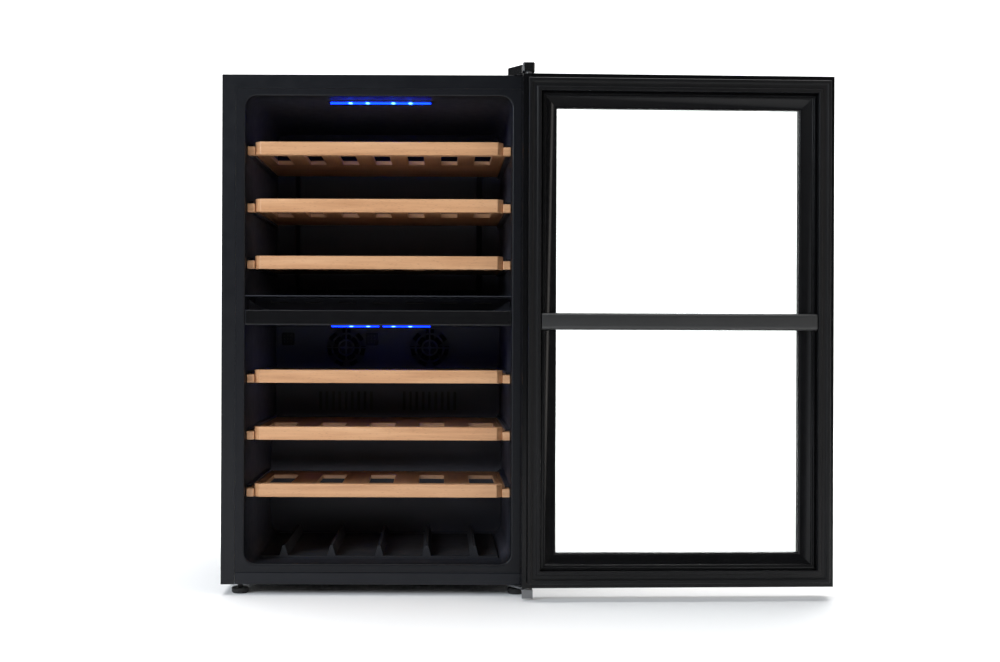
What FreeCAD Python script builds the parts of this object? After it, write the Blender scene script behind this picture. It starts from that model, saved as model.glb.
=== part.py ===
import FreeCAD, Part
import math
import os
import re
import Sketcher

# Dual-zone wine cooler, millimetres.
# +X to the right seen from the front, +Y to the back, +Z up.
# The origin is on the floor, under the middle of the cabinet's front face.

SIZES = {
    # cabinet
    "cabinet_width": 500,
    "body_height": 813,
    "body_depth": 500,
    "foot_height": 17,
    "shell_gauge": 1,
    "shell_corner": 0.8,
    "pan_lip": 14,
    "flange_width": 22,
    "side_lip": 15.5,
    "top_lip": 12,
    "bottom_lip": 13,
    "rail_height": 20,
    "rail_depth": 18,
    "lip_gauge": 2,
    "seat_gap": 0.3,
    # bay inside the liner
    "rear_wall": 60,
    "liner_wall": 2,
    "bay_corner": 18,
    "mouth_round": 3,
    "hump_depth": 88,
    "hump_height": 180,
    "machine_insulation": 30,
    "lower_zone_height": 381,
    "divider_height": 47,
    "divider_front": 2,
    "recess_depth": 112,
    "recess_height": 22,
    "divider_skin": 1.5,
    "strip_gap": 0.5,
    "strip_round": 0.8,
    "duct_slot_drop": 4,
    "duct_slot_width": 29,
    "duct_slot_height": 4,
    "duct_slot_pitch": 56.6,
    "gusset_width": 24,
    "gusset_from_back": 70,
    # evaporator covers and what they hide
    "cover_depth": 28,
    "cover_wall": 2,
    "upper_cover_side_gap": 45.5,
    "upper_cover_flare": 11,
    "upper_cover_low": 21,
    "upper_cover_tall": 237,
    "upper_cover_step": 6,
    "upper_vent_reach": 15,
    "grille_pitch": 12,
    "grille_slot": 5,
    "grille_tall": 35,
    "grille_low": 42,
    "fan_offset": 79,
    "fan_below": 41,
    "fan_hole": 37,
    "spoke_width": 3,
    "fan_arm_width": 6,
    "fan_arm_gauge": 2,
    "rotor_hub": 11,
    "rotor_length": 10,
    "blade_gap": 1.5,
    "blade_gauge": 1.4,
    "motor_length": 5,
    "sensor_x_outer": 188,
    "sensor_x_inner": 30,
    "sensor_size": 24,
    "sensor_depth": 5,
    "sensor_rise": 4,
    "sensor_round": 3,
    "sensor_hole": 1.5,
    "sensor_hole_pitch": 6,
    "lower_coil_half": 150,
    "coil_margin": 10,
    "coil_depth": 12,
    "fin_gauge": 1,
    # lamps
    "lamp_length": 172,
    "lamp_width": 26,
    "lamp_body": 1.2,
    "lens_gauge": 1.5,
    "lens_width": 8,
    "lens_round": 0.7,
    "lens_margin": 4,
    "lens_break": 3.5,
    "lamp_round": 0.8,
    "upper_lamp_back": 47,
    "lower_lamp_back": 88,
    # shelves
    "shelf_pitch": 91.5,
    "first_shelf": 105,
    "first_upper_shelf": 42.7,
    "shelf_back_of_face": 12,
    "trim_height": 21,
    "trim_depth": 20,
    "trim_inset": 12.1,
    "trim_chamfer": 9,
    "shelf_back_gap": 56,
    "short_shelf_gap": 60,
    "board_gauge": 7,
    "board_rise": 6.7,
    "runner_height": 13.5,
    "shelf_side_gap": 1,
    "upper_slot_front": 48,
    "upper_slot_back": 191,
    "upper_slot_pitch": 56.6,
    "upper_slot_width": 28,
    "lower_slot_front": 48,
    "lower_slot_back": 216,
    "lower_slot_pitch": 85,
    "lower_slot_width": 43,
    "rib_reach": 8,
    "rib_height": 4,
    "rib_gap": 0.8,
    # floor bottle rack
    "rack_front": 60,
    "rack_depth": 250,
    "rack_height": 20,
    "rack_base": 3,
    "rack_rib": 4,
    "rack_pitch": 78,
    # door
    "door_side_gap": 4,
    "door_low_gap": 3.8,
    "door_high_gap": 5,
    "door_depth": 42,
    "door_standoff": 11,
    "door_angle": 182.5,
    "frame_rebate": 29,
    "frame_lip": 48,
    "frame_lip_gauge": 2,
    "glass_gauge": 4,
    "glass_gap": 16,
    "glass_edge_gap": 0.5,
    "spacer_width": 10,
    "inner_frame_width": 24.5,
    "inner_frame_bevel": 10,
    "inner_frame_depth": 17,
    "gasket_inset": 7,
    "gasket_width": 21,
    "gasket_relief": 0.5,
    "gasket_groove": 3,
    "seal_bar_height": 26.4,
    "seal_bar_clear": 1.5,
    "handle_radius": 6,
    "handle_length": 420,
    "handle_stand": 30,
    "handle_inset": 25,
    "post_radius": 5,
    "post_inset": 40,
    "grip_round": 1.5,
    # hinges
    "hinge_inset": 13.5,
    "hinge_behind_face": 25,
    "hinge_plate": 3,
    "hinge_arm": 19,
    "hinge_reach": 10,
    "hinge_foot": 40,
    "hinge_back": 52,
    "hinge_cover_height": 14,
    "hinge_cover_wall": 2,
    "hinge_step": 14,
    "hinge_leg_low": 3,
    "pin_radius": 4,
    "pin_in_door": 14,
    "pin_clearance": 0.06,
    "bush_radius": 7,
    "bush_flange": 9,
    "bush_flange_gauge": 2,
    "screw_radius": 2,
    "screw_head": 4,
    "screw_head_height": 3,
    "screw_length": 12,
    "screw_clearance": 0.2,
    # feet
    "foot_radius": 13.5,
    "foot_pad": 9,
    "foot_pad_round": 2,
    "stem_radius": 4,
    "stem_length": 16,
    "foot_in_side": 28,
    "foot_in_front": 24,
    "foot_in_back": 30,
    # machine compartment
    "compressor_x": 60,
    "compressor_radius": 50,
    "compressor_height": 140,
    "compressor_dome": 22,
    "compressor_top_round": 14,
    "suction_rise": 40,
    "discharge_rise": 70,
    "stub_reach": 8,
    "terminal_rise": 30,
    "mount_plate_width": 150,
    "mount_plate_depth": 90,
    "mount_plate_gauge": 3,
    "grommet_radius": 9,
    "grommet_height": 10,
    "grommet_x": 64,
    "grommet_y": 34,
    "terminal_width": 26,
    "terminal_depth": 44,
    "terminal_height": 60,
    "tray_width": 150,
    "tray_depth": 96,
    "tray_height": 16,
    "tray_wall": 2,
    "tray_corner": 6,
    "drier_x": -90,
    "drier_radius": 9.5,
    "drier_length": 90,
    "pipe_radius": 3,
    "pipe_arc": 8.4,
    "pipe_stand_off": 34,
    "drier_rise": 20,
    "drier_neck": 12,
    "inlet_x": -190,
    "inlet_width": 48,
    "inlet_height": 30,
    "inlet_depth": 26,
    "inlet_wall": 4,
    "inlet_low": 26,
    "inlet_shoulder": 6,
    # condenser
    "condenser_side_gap": 45,
    "condenser_over_recess": 44,
    "condenser_pitch": 44,
    "condenser_tube": 2.4,
    "condenser_stand": 14,
    "wire_radius": 0.8,
    "wire_overhang": 14,
    "wire_inset": 27,
    "clip_width": 14,
    "clip_margin": 3,
    "clip_inset": 10,
}

UPPER_SLOTS = 7
LOWER_SLOTS = 5
DUCT_SLOTS = 7
GRILLE_SLOTS = 9
FAN_RINGS = 3
BLADES = 7
CONDENSER_PASSES = 13
CONDENSER_WIRES = 24
RACK_RIBS = 5
COIL_FINS = 15

doc = FreeCAD.newDocument("wine_cooler")
sheet = doc.addObject("Spreadsheet::Sheet", "dims")
for row, (alias, size) in enumerate(SIZES.items(), start=1):
    sheet.set(f"A{row}", alias)
    sheet.set(f"B{row}", str(size))
    sheet.setAlias(f"B{row}", alias)
doc.recompute()

# Places worked out from the sheet, as expressions
HALF = "(cabinet_width / 2)"
BODY_TOP = "(foot_height + body_height)"
BAY_HALF = "(cabinet_width / 2 - flange_width - side_lip)"
LIP_HALF = "(cabinet_width / 2 - flange_width - seat_gap)"
BAY_FLOOR = "(foot_height + rail_height + bottom_lip)"
CEILING = f"({BODY_TOP} - flange_width - top_lip)"
BAY_BACK = "(body_depth - rear_wall)"
HUMP_FRONT = f"({BAY_BACK} - hump_depth)"
HUMP_TOP = f"({BAY_FLOOR} + hump_height)"
RECESS_FRONT = f"({HUMP_FRONT} + liner_wall + machine_insulation)"
RECESS_TOP = f"({HUMP_TOP} - liner_wall - machine_insulation + 8)"
DIVIDER_LOW = f"({BAY_FLOOR} + lower_zone_height)"
DIVIDER_HIGH = f"({DIVIDER_LOW} + divider_height)"
COVER_FRONT = f"({BAY_BACK} - cover_depth)"
UPPER_COVER_HALF = f"({BAY_HALF} - upper_cover_side_gap)"
SHELF_BACK = f"({BAY_BACK} - shelf_back_gap)"
SHORT_SHELF_BACK = f"({HUMP_FRONT} - short_shelf_gap)"
FAN_HEIGHT = f"({DIVIDER_LOW} - fan_below)"
PAN_TOP = "(foot_height + shell_gauge)"
PANEL_FRONT = "(body_depth - shell_gauge)"
DOOR_HALF = "(cabinet_width / 2 - door_side_gap)"
DOOR_LOW = "(foot_height + door_low_gap)"
DOOR_TOP = f"({BODY_TOP} - door_high_gap)"
DOOR_BACK = "(0 - door_standoff)"
DOOR_FRONT = "(0 - door_standoff - door_depth)"
GLASS_OUT = f"({DOOR_FRONT} + frame_lip_gauge)"
GLASS_IN = f"({GLASS_OUT} + glass_gauge + glass_gap)"
INNER_FRONT = f"({GLASS_IN} + glass_gauge)"
INNER_BACK = f"({INNER_FRONT} + inner_frame_depth)"
HINGE_X = "(cabinet_width / 2 - hinge_inset)"
HINGE_Y = f"({DOOR_FRONT} + hinge_behind_face)"
MACHINE_Y = f"(({RECESS_FRONT} + body_depth) / 2 + 3)"
MOUNT_TOP = f"({PAN_TOP} + grommet_height + mount_plate_gauge)"
CONDENSER_Y = "(body_depth + condenser_stand)"
CONDENSER_HALF = "(cabinet_width / 2 - condenser_side_gap)"
CONDENSER_LOW = f"({RECESS_TOP} + condenser_over_recess)"

serial = {}
nodes = []


def qualified(text):
    """Put the sheet's name before each alias in an expression."""
    return re.sub(r"[a-z_]+", lambda m: "dims." + m[0] if m[0] in SIZES else m[0], str(text))


def value(text):
    """Number that an expression gives, for shapes that are not bound to the sheet."""
    return float(sheet.evalExpression(qualified(text)))


def named(stem):
    serial[stem] = serial.get(stem, 0) + 1
    return f"{stem}_{serial[stem]}"


def bind(thing, **rules):
    for key, text in rules.items():
        thing.setExpression(key.replace("__", "."), qualified(text))
    return thing


def place(thing, x, y, z):
    return bind(thing, Placement__Base__x=x, Placement__Base__y=y, Placement__Base__z=z)


def box(x, y, z):
    """Box between pairs of expressions along each axis."""
    made = doc.addObject("Part::Box", named("box"))
    bind(made, Length=f"({x[1]}) - ({x[0]})", Width=f"({y[1]}) - ({y[0]})", Height=f"({z[1]}) - ({z[0]})")
    return place(made, x[0], y[0], z[0])


def both_sides(half):
    return f"0 - ({half})", half


def round_bar(radius, length, x, y, z, axis="z"):
    """Cylinder that starts at x, y, z and runs along +axis."""
    made = doc.addObject("Part::Cylinder", named("bar"))
    turns = {"z": ((0, 0, 1), 0), "x": ((0, 1, 0), 90), "y": ((1, 0, 0), -90)}
    direction, angle = turns[axis]
    made.Placement.Rotation = FreeCAD.Rotation(FreeCAD.Vector(*direction), angle)
    bind(made, Radius=radius, Height=length)
    return place(made, x, y, z)


def cut(base, *tools):
    made = doc.addObject("Part::Cut", named("cut"))
    made.Base = base
    made.Tool = tools[0] if len(tools) == 1 else fuse(*tools)
    return made


def fuse(*shapes):
    if len(shapes) == 1:
        return shapes[0]
    made = doc.addObject("Part::MultiFuse", named("fuse"))
    made.Shapes = list(shapes)
    made.Refine = True
    return made


def common(one, other):
    made = doc.addObject("Part::Common", named("common"))
    made.Base = one
    made.Tool = other
    return made


def group(*shapes):
    """Separate solids that share one node."""
    made = doc.addObject("Part::Compound", named("group"))
    made.Links = list(shapes)
    return made


def round_edges(base, radius, wanted):
    """Fillet the edges of base that the test accepts."""
    doc.recompute()
    size = value(radius)
    made = doc.addObject("Part::Fillet", named("fillet"))
    made.Base = base
    edges = [i for i, e in enumerate(base.Shape.Edges, start=1) if wanted(e)]
    made.Edges = [(i, size, size) for i in edges]
    return made


def runs_along(edge, axis):
    one, two = (v.Point for v in edge.Vertexes[:2])
    return abs(abs((two - one).normalize()[axis]) - 1) < 1e-6


def body_with_sketch(plane):
    body = doc.addObject("PartDesign::Body", named("body"))
    sketch = body.newObject("Sketcher::SketchObject", named("sketch"))
    support = next(f for f in body.Origin.OriginFeatures if f.Role == plane)
    sketch.AttachmentSupport = [(support, "")]
    sketch.MapMode = "FlatFace"
    return body, sketch


def draw_outline(sketch, points):
    """Closed polygon whose corners are pairs of expressions."""
    corners = [FreeCAD.Vector(value(u), value(v), 0) for u, v in points]
    count = len(corners)
    for i in range(count):
        sketch.addGeometry(Part.LineSegment(corners[i], corners[(i + 1) % count]), False)
    for i in range(count):
        sketch.addConstraint(Sketcher.Constraint("Coincident", i, 2, (i + 1) % count, 1))
    for i, (u, v) in enumerate(points):
        for kind, text, at in (("DistanceX", u, corners[i].x), ("DistanceY", v, corners[i].y)):
            number = sketch.addConstraint(Sketcher.Constraint(kind, i, 1, at))
            sketch.setExpression(f"Constraints[{number}]", qualified(text))


def prism(plane, points, length):
    """Padded outline. XY pads up +Z, XZ pads towards -Y, YZ pads along +X."""
    body, sketch = body_with_sketch(plane)
    draw_outline(sketch, points)
    pad = body.newObject("PartDesign::Pad", named("pad"))
    pad.Profile = sketch
    bind(pad, Length=length)
    return body


def turned(points):
    """Outline of radius and height, revolved about the body's own Z axis."""
    body, sketch = body_with_sketch("XZ_Plane")
    draw_outline(sketch, points)
    made = body.newObject("PartDesign::Revolution", named("turn"))
    made.Profile = sketch
    made.ReferenceAxis = (sketch, ["V_Axis"])
    made.Angle = 360
    return body


def tube_along(points, bend, radius):
    """Bent tube: straight runs joined by tangent arcs, the points in millimetres."""
    corners = [FreeCAD.Vector(*p) for p in points]
    edges, start = [], corners[0]
    for before, corner, after in zip(corners, corners[1:], corners[2:]):
        way_in = (corner - before).normalize()
        way_out = (after - corner).normalize()
        turn = way_in.getAngle(way_out)
        reach = bend * math.tan(turn / 2)
        first, last = corner - way_in * reach, corner + way_out * reach
        inward = (way_out - way_in).normalize()
        middle = corner + inward * (bend / math.cos(turn / 2) - bend)
        edges.append(Part.LineSegment(start, first).toShape())
        edges.append(Part.Arc(first, middle, last).toShape())
        start = last
    edges.append(Part.LineSegment(start, corners[-1]).toShape())
    path = Part.Wire(edges)
    heading = corners[1] - corners[0]
    ring = Part.Wire(Part.Circle(corners[0], heading, radius).toShape())
    return path.makePipeShell([ring], True, True)


def plain_feature(shape):
    made = doc.addObject("Part::Feature", named("feature"))
    made.Shape = shape
    return made


def node(name, made):
    """Give a finished sub-part its name."""
    made.Label = name
    nodes.append(made)
    return made


def hang_on_door(made):
    """Swing a piece, drawn with the door shut, about the hinge to the door's rest angle."""
    bind(
        made,
        Placement__Rotation__Angle="door_angle",
        Placement__Base__x=f"{HINGE_X} * (1 - cos(door_angle)) + {HINGE_Y} * sin(door_angle)",
        Placement__Base__y=f"{HINGE_Y} * (1 - cos(door_angle)) - {HINGE_X} * sin(door_angle)",
    )
    return made


def door_node(name, *shapes):
    return node(name, hang_on_door(group(*shapes)))


def mitred(ring, half, low, high, width):
    """Four mitred lengths of a rectangular ring in the door's plane."""
    left, right = f"0 - ({half}) - 1", f"({half}) + 1"
    bottom, top = f"({low}) - 1", f"({high}) + 1"
    deep = f"({width}) + 3"
    inner_left, inner_right = f"{left} + {deep}", f"{right} - ({deep})"
    inner_bottom, inner_top = f"{bottom} + {deep}", f"{top} - ({deep})"
    corners = [
        [(left, bottom), (inner_left, inner_bottom), (inner_left, inner_top), (left, top)],
        [(right, bottom), (right, top), (inner_right, inner_top), (inner_right, inner_bottom)],
        [(left, top), (inner_left, inner_top), (inner_right, inner_top), (right, top)],
        [(left, bottom), (right, bottom), (inner_right, inner_bottom), (inner_left, inner_bottom)],
    ]
    return [common(ring, prism("XZ_Plane", outline, "2 * door_depth + 2 * door_standoff"))
            for outline in corners]


# Cabinet shell: one folded sheet over the sides and top, with a narrow front flange

FOOT_SPOTS = {
    "front_left_foot": ("0 - cabinet_width / 2 + foot_in_side", "foot_in_front"),
    "front_right_foot": ("cabinet_width / 2 - foot_in_side", "foot_in_front"),
    "rear_left_foot": ("0 - cabinet_width / 2 + foot_in_side", "body_depth - foot_in_back"),
    "rear_right_foot": ("cabinet_width / 2 - foot_in_side", "body_depth - foot_in_back"),
}
TOP_SCREWS = [(f"{HINGE_X} - 14", "18"), (f"{HINGE_X} - 14", "40"), (f"{HINGE_X} + 2", "30")]
BOTTOM_SCREWS = [(f"{HINGE_X} - 26", "50"), (f"{HINGE_X} - 2", "50")]


def screw_holes(spots, low, length):
    return [round_bar("screw_radius + screw_clearance", length, x, y, low) for x, y in spots]


def outer_shell():
    outside = box(both_sides(HALF), ("0", PANEL_FRONT), ("foot_height", BODY_TOP))

    def folded(edge):
        middle = edge.CenterOfMass
        upright = runs_along(edge, 2) and middle.y < 1
        return upright or (runs_along(edge, 0) and middle.y < 1 and middle.z > value(BODY_TOP) - 1)

    outside = round_edges(outside, "shell_corner", folded)
    inside = box(both_sides(f"{HALF} - shell_gauge"), ("shell_gauge", "body_depth + 1"),
                 ("foot_height - 1", f"{BODY_TOP} - shell_gauge"))
    mouth = box(both_sides(f"{HALF} - flange_width"), ("0 - 1", "2"),
                ("foot_height - 1", f"{BODY_TOP} - flange_width"))
    holes = screw_holes(TOP_SCREWS, f"{BODY_TOP} - 5", "10")
    return node("outer_shell", cut(outside, inside, mouth, *holes))


def back_panel():
    front, back = PANEL_FRONT, "body_depth"
    outline = [
        (back, RECESS_TOP),
        (back, f"{BODY_TOP}"),
        (front, f"{BODY_TOP}"),
        (front, f"{RECESS_TOP} + shell_gauge"),
        (f"{RECESS_FRONT} - shell_gauge", f"{RECESS_TOP} + shell_gauge"),
        (f"{RECESS_FRONT} - shell_gauge", PAN_TOP),
        (RECESS_FRONT, PAN_TOP),
        (RECESS_FRONT, RECESS_TOP),
    ]
    panel = prism("YZ_Plane", outline, "cabinet_width - 2 * shell_gauge - 2 * seat_gap")
    place(panel, f"0 - {HALF} + shell_gauge + seat_gap", "0", "0")
    return node("back_panel", panel)


def base_pan():
    half = f"{HALF} - shell_gauge - seat_gap"
    plate = box(both_sides(half), ("rail_depth + seat_gap", PANEL_FRONT), ("foot_height", PAN_TOP))
    lip = box(both_sides(half), (f"{PANEL_FRONT} - shell_gauge", PANEL_FRONT),
              ("foot_height", f"{PAN_TOP} + pan_lip"))
    holes = [round_bar("stem_radius + pin_clearance", "10", x, y, "foot_height - 5")
             for x, y in FOOT_SPOTS.values()]
    holes += screw_holes(BOTTOM_SCREWS, "foot_height - 5", "10")
    return node("base_pan", cut(fuse(plate, lip), *holes))


def bottom_front_rail():
    rail = box(both_sides(f"{HALF} - flange_width - seat_gap"), ("0", "rail_depth"),
               ("foot_height", "foot_height + rail_height - seat_gap"))
    rounded = round_edges(rail, "2", lambda e: runs_along(e, 0) and e.CenterOfMass.y < 1)
    return node("bottom_front_rail", rounded)


def bay(grow, front):
    """Room inside the liner, grown by a wall, with the step over the machine compartment."""
    grow = f"({grow})"
    half = f"({BAY_HALF} + {grow})"
    outline = [
        (front, f"{BAY_FLOOR} - {grow}"),
        (f"{HUMP_FRONT} + {grow}", f"{BAY_FLOOR} - {grow}"),
        (f"{HUMP_FRONT} + {grow}", f"{HUMP_TOP} - {grow}"),
        (f"{BAY_BACK} + {grow}", f"{HUMP_TOP} - {grow}"),
        (f"{BAY_BACK} + {grow}", f"{CEILING} + {grow}"),
        (front, f"{CEILING} + {grow}"),
    ]
    room = prism("YZ_Plane", outline, f"2 * {half}")
    place(room, f"0 - {half}", "0", "0")
    return round_edges(room, f"bay_corner + {grow}", lambda e: runs_along(e, 1))


def runner_heights():
    """Underside of each shelf, bottom one first."""
    lower = [f"({BAY_FLOOR} + first_shelf + {i} * shelf_pitch)" for i in range(3)]
    upper = [f"({DIVIDER_HIGH} + first_upper_shelf + {i} * shelf_pitch)" for i in range(3)]
    return lower + upper


def shelf_back(number):
    return SHORT_SHELF_BACK if number == 1 else SHELF_BACK


def inner_liner():
    shell = bay("liner_wall", "seat_gap + shell_gauge")
    lip = box(both_sides(LIP_HALF), ("0", "lip_gauge"),
              ("foot_height + rail_height", f"{BODY_TOP} - flange_width - seat_gap"))
    tub = cut(fuse(shell, lip), bay("0", "0 - 10"))
    half, floor, roof = value(BAY_HALF), value(BAY_FLOOR), value(CEILING)

    def at_mouth(edge):
        box_round = edge.BoundBox
        inside = box_round.XMax < half + 1 and box_round.XMin > -half - 1
        return box_round.YMax < 0.1 and inside and box_round.ZMin > floor - 1 and box_round.ZMax < roof + 1

    tub = round_edges(tub, "mouth_round", at_mouth)
    ribs = []
    for number, low in enumerate(runner_heights(), start=1):
        depth = ("shelf_back_of_face + trim_depth + rib_gap", f"{shelf_back(number)} - rib_height")
        under = (f"{low} + board_rise - rib_gap - rib_height", f"{low} + board_rise - rib_gap")
        over = (f"{low} + runner_height + rib_gap", f"{low} + runner_height + rib_gap + rib_height")
        for height in (under, over):
            ribs.append(box((f"0 - {BAY_HALF} - 1", f"0 - {BAY_HALF} + rib_reach"), depth, height))
            ribs.append(box((f"{BAY_HALF} - rib_reach", f"{BAY_HALF} + 1"), depth, height))
    return node("inner_liner", fuse(tub, *ribs))


def insulation_foam():
    gap = "seat_gap"
    low, high = f"{PAN_TOP} + {gap}", f"{BODY_TOP} - shell_gauge - {gap}"
    outline = [
        (f"rail_depth + {gap}", low),
        (f"{RECESS_FRONT} - shell_gauge - {gap}", low),
        (f"{RECESS_FRONT} - shell_gauge - {gap}", f"{RECESS_TOP} + shell_gauge + {gap}"),
        (f"{PANEL_FRONT} - {gap}", f"{RECESS_TOP} + shell_gauge + {gap}"),
        (f"{PANEL_FRONT} - {gap}", high),
        (f"lip_gauge + {gap}", high),
        (f"lip_gauge + {gap}", f"foot_height + rail_height + {gap}"),
        (f"rail_depth + {gap}", f"foot_height + rail_height + {gap}"),
    ]
    half = f"({HALF} - shell_gauge - {gap})"
    block = prism("YZ_Plane", outline, f"2 * {half}")
    place(block, f"0 - {half}", "0", "0")
    pockets = [round_bar("stem_radius + 2", "stem_length + 4", x, y, "foot_height - 1")
               for x, y in FOOT_SPOTS.values()]
    pockets += screw_holes(TOP_SCREWS, f"{BODY_TOP} - screw_length - 1", "screw_length + 5")
    pockets += screw_holes(BOTTOM_SCREWS, "foot_height - 2", "screw_length + 4")
    return node("insulation_foam", cut(block, bay("liner_wall + seat_gap", "0 - 10"), *pockets))


# Partition between the two zones

def zone_divider():
    """Insulated block with a recess along its front, and the thin shelf over the recess."""
    half = both_sides(f"{BAY_HALF} - seat_gap")
    top = f"{DIVIDER_HIGH} - divider_skin"
    block = box(half, ("divider_front", COVER_FRONT), (DIVIDER_LOW, top))
    recess = box(both_sides(f"{BAY_HALF} + 5"), ("0", "divider_front + recess_depth"),
                 (f"{top} - recess_height", f"{DIVIDER_HIGH} + 5"))
    plate = box(half, ("divider_front", COVER_FRONT), (top, DIVIDER_HIGH))
    return node("zone_divider", group(cut(block, recess), plate))


def duct_grille():
    """Slotted strip at the back of the divider's recess, with a wedge web at each end."""
    low = f"({DIVIDER_HIGH} - divider_skin - recess_height)"
    high = f"({DIVIDER_HIGH} - divider_skin)"
    back = "(divider_front + recess_depth)"
    wall = box(both_sides(f"{BAY_HALF} - 1"), (f"{back} - cover_wall", back), (low, high))
    slots = []
    for i in range(DUCT_SLOTS):
        middle = f"{i - DUCT_SLOTS // 2} * duct_slot_pitch"
        slots.append(box((f"{middle} - duct_slot_width / 2", f"{middle} + duct_slot_width / 2"),
                         (f"{back} - 10", f"{back} + 10"),
                         (f"{high} - duct_slot_drop - duct_slot_height", f"{high} - duct_slot_drop")))
    webs = []
    for side in (-1, 1):
        outer, inner = f"{side} * ({BAY_HALF} - 1)", f"{side} * ({BAY_HALF} - 1 - gusset_width)"
        outline = [(outer, low), (inner, low), (outer, f"{high} - 5")]
        web = prism("XZ_Plane", outline, "cover_wall")
        webs.append(place(web, "0", f"{back} - gusset_from_back", "0"))
        foot = box(tuple(sorted((outer, inner), key=value)),
                   (f"{back} - gusset_from_back - cover_wall", back), (low, f"{low} + cover_wall"))
        webs.append(foot)
    return node("divider_grille", fuse(cut(wall, *slots), *webs))


def control_panel():
    """Glossy strip on the divider's front edge, below the recess."""
    high = f"{DIVIDER_HIGH} - divider_skin - recess_height"
    strip = box(both_sides(f"{BAY_HALF} - 1"), ("0", "divider_front"),
                (f"{DIVIDER_LOW} + strip_gap", f"{high} - strip_gap"))
    rounded = round_edges(strip, "strip_round", lambda e: runs_along(e, 0) and e.CenterOfMass.y < 1)
    return node("control_panel", rounded)


# Cooling: covers, coils and fans at the back of each zone

def slot_row(middle, low):
    slots = []
    for i in range(GRILLE_SLOTS):
        at = f"({middle}) + {i - GRILLE_SLOTS // 2} * grille_pitch"
        slots.append(box((f"{at} - grille_slot / 2", f"{at} + grille_slot / 2"),
                         (f"{COVER_FRONT} - 20", f"{COVER_FRONT} + 12"), (low, f"({low}) + grille_tall")))
    return slots


def fan_grille(x):
    """Concentric slots for one fan, crossed by four spokes."""
    rings = []
    for i in range(FAN_RINGS):
        outer = f"fan_hole - {i} * fan_hole / {FAN_RINGS}"
        ring = cut(round_bar(outer, "10", x, f"{COVER_FRONT} - 4", FAN_HEIGHT, "y"),
                   round_bar(f"({outer}) - fan_hole / {FAN_RINGS} * 0.7", "12", x, f"{COVER_FRONT} - 5",
                             FAN_HEIGHT, "y"))
        rings.append(ring)
    reach = (f"{COVER_FRONT} - 6", f"{COVER_FRONT} + 8")
    flat = box((f"{x} - fan_hole - 2", f"{x} + fan_hole + 2"), reach,
               (f"{FAN_HEIGHT} - spoke_width / 2", f"{FAN_HEIGHT} + spoke_width / 2"))
    upright = box((f"{x} - spoke_width / 2", f"{x} + spoke_width / 2"), reach,
                  (f"{FAN_HEIGHT} - fan_hole - 2", f"{FAN_HEIGHT} + fan_hole + 2"))
    return cut(group(*rings), flat, upright)


def lower_evaporator_cover():
    half = f"({BAY_HALF} - 1)"
    low, high = f"({HUMP_TOP} + 1)", f"({DIVIDER_LOW} - 1)"
    outside = box(both_sides(half), (COVER_FRONT, f"{BAY_BACK} - 0.5"), (low, high))
    hollow = box(both_sides(f"{half} - cover_wall"), (f"{COVER_FRONT} + cover_wall", f"{BAY_BACK} + 5"),
                 (f"{low} + cover_wall", f"{high} - cover_wall"))
    floor = value(low)
    corners = round_edges(outside, "bay_corner", lambda e: runs_along(e, 1) and e.CenterOfMass.z < floor + 5)
    openings = []
    for x in ("0 - fan_offset", "fan_offset"):
        openings += slot_row(x, f"{HUMP_TOP} + grille_low")
        openings.append(fan_grille(x))
    return node("lower_evaporator_cover", cut(corners, hollow, *openings))


def upper_evaporator_cover():
    """Shallow hat with sloping sides, open at the back."""
    low = f"({DIVIDER_HIGH} + upper_cover_low)"

    def hat(inset, front, back):
        made = doc.addObject("Part::Wedge", named("hat"))
        half = f"({UPPER_COVER_HALF} - {inset})"
        flare = f"({half} + upper_cover_flare)"
        bind(made, Xmin=f"0 - {half}", Xmax=half, Zmin=f"{low} + {inset}",
             Zmax=f"{low} + upper_cover_tall - {inset}", X2min=f"0 - {flare}", X2max=flare,
             Z2min=f"{low} + {inset} - upper_cover_flare",
             Z2max=f"{low} + upper_cover_tall - {inset} + upper_cover_flare", Ymin=front, Ymax=back)
        return made

    outside = hat("0", f"{COVER_FRONT} + upper_cover_step", f"{BAY_BACK} - 0.5")
    inside = hat("cover_wall", f"{COVER_FRONT} + upper_cover_step + cover_wall", f"{BAY_BACK} + 2")
    vents = []
    depth = (f"{COVER_FRONT} + upper_cover_step + 2 * cover_wall", f"{BAY_BACK} - 2 * cover_wall")
    for x in ("(0 - fan_offset)", "fan_offset"):
        for i in range(GRILLE_SLOTS):
            at = f"({x} + {i - GRILLE_SLOTS // 2} * grille_pitch)"
            across = (f"{at} - grille_slot / 2", f"{at} + grille_slot / 2")
            for edge in (low, f"({low} + upper_cover_tall)"):
                vents.append(box(across, depth, (f"{edge} - upper_vent_reach", f"{edge} + upper_vent_reach")))
    return node("upper_evaporator_cover", cut(outside, inside, *vents))


def evaporator(name, half, low, high):
    """Plate coil: upright fins on a flat back plate."""
    back = box(both_sides(half), (f"{BAY_BACK} - 3", f"{BAY_BACK} - 1"), (low, high))
    pieces = [back]
    for i in range(COIL_FINS):
        at = f"0 - ({half}) + ({i} + 0.5) * 2 * ({half}) / {COIL_FINS}"
        pieces.append(box((f"{at} - fin_gauge / 2", f"{at} + fin_gauge / 2"),
                          (f"{BAY_BACK} - 3 - coil_depth", f"{BAY_BACK} - 2"), (low, high)))
    return node(name, fuse(*pieces))


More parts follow.
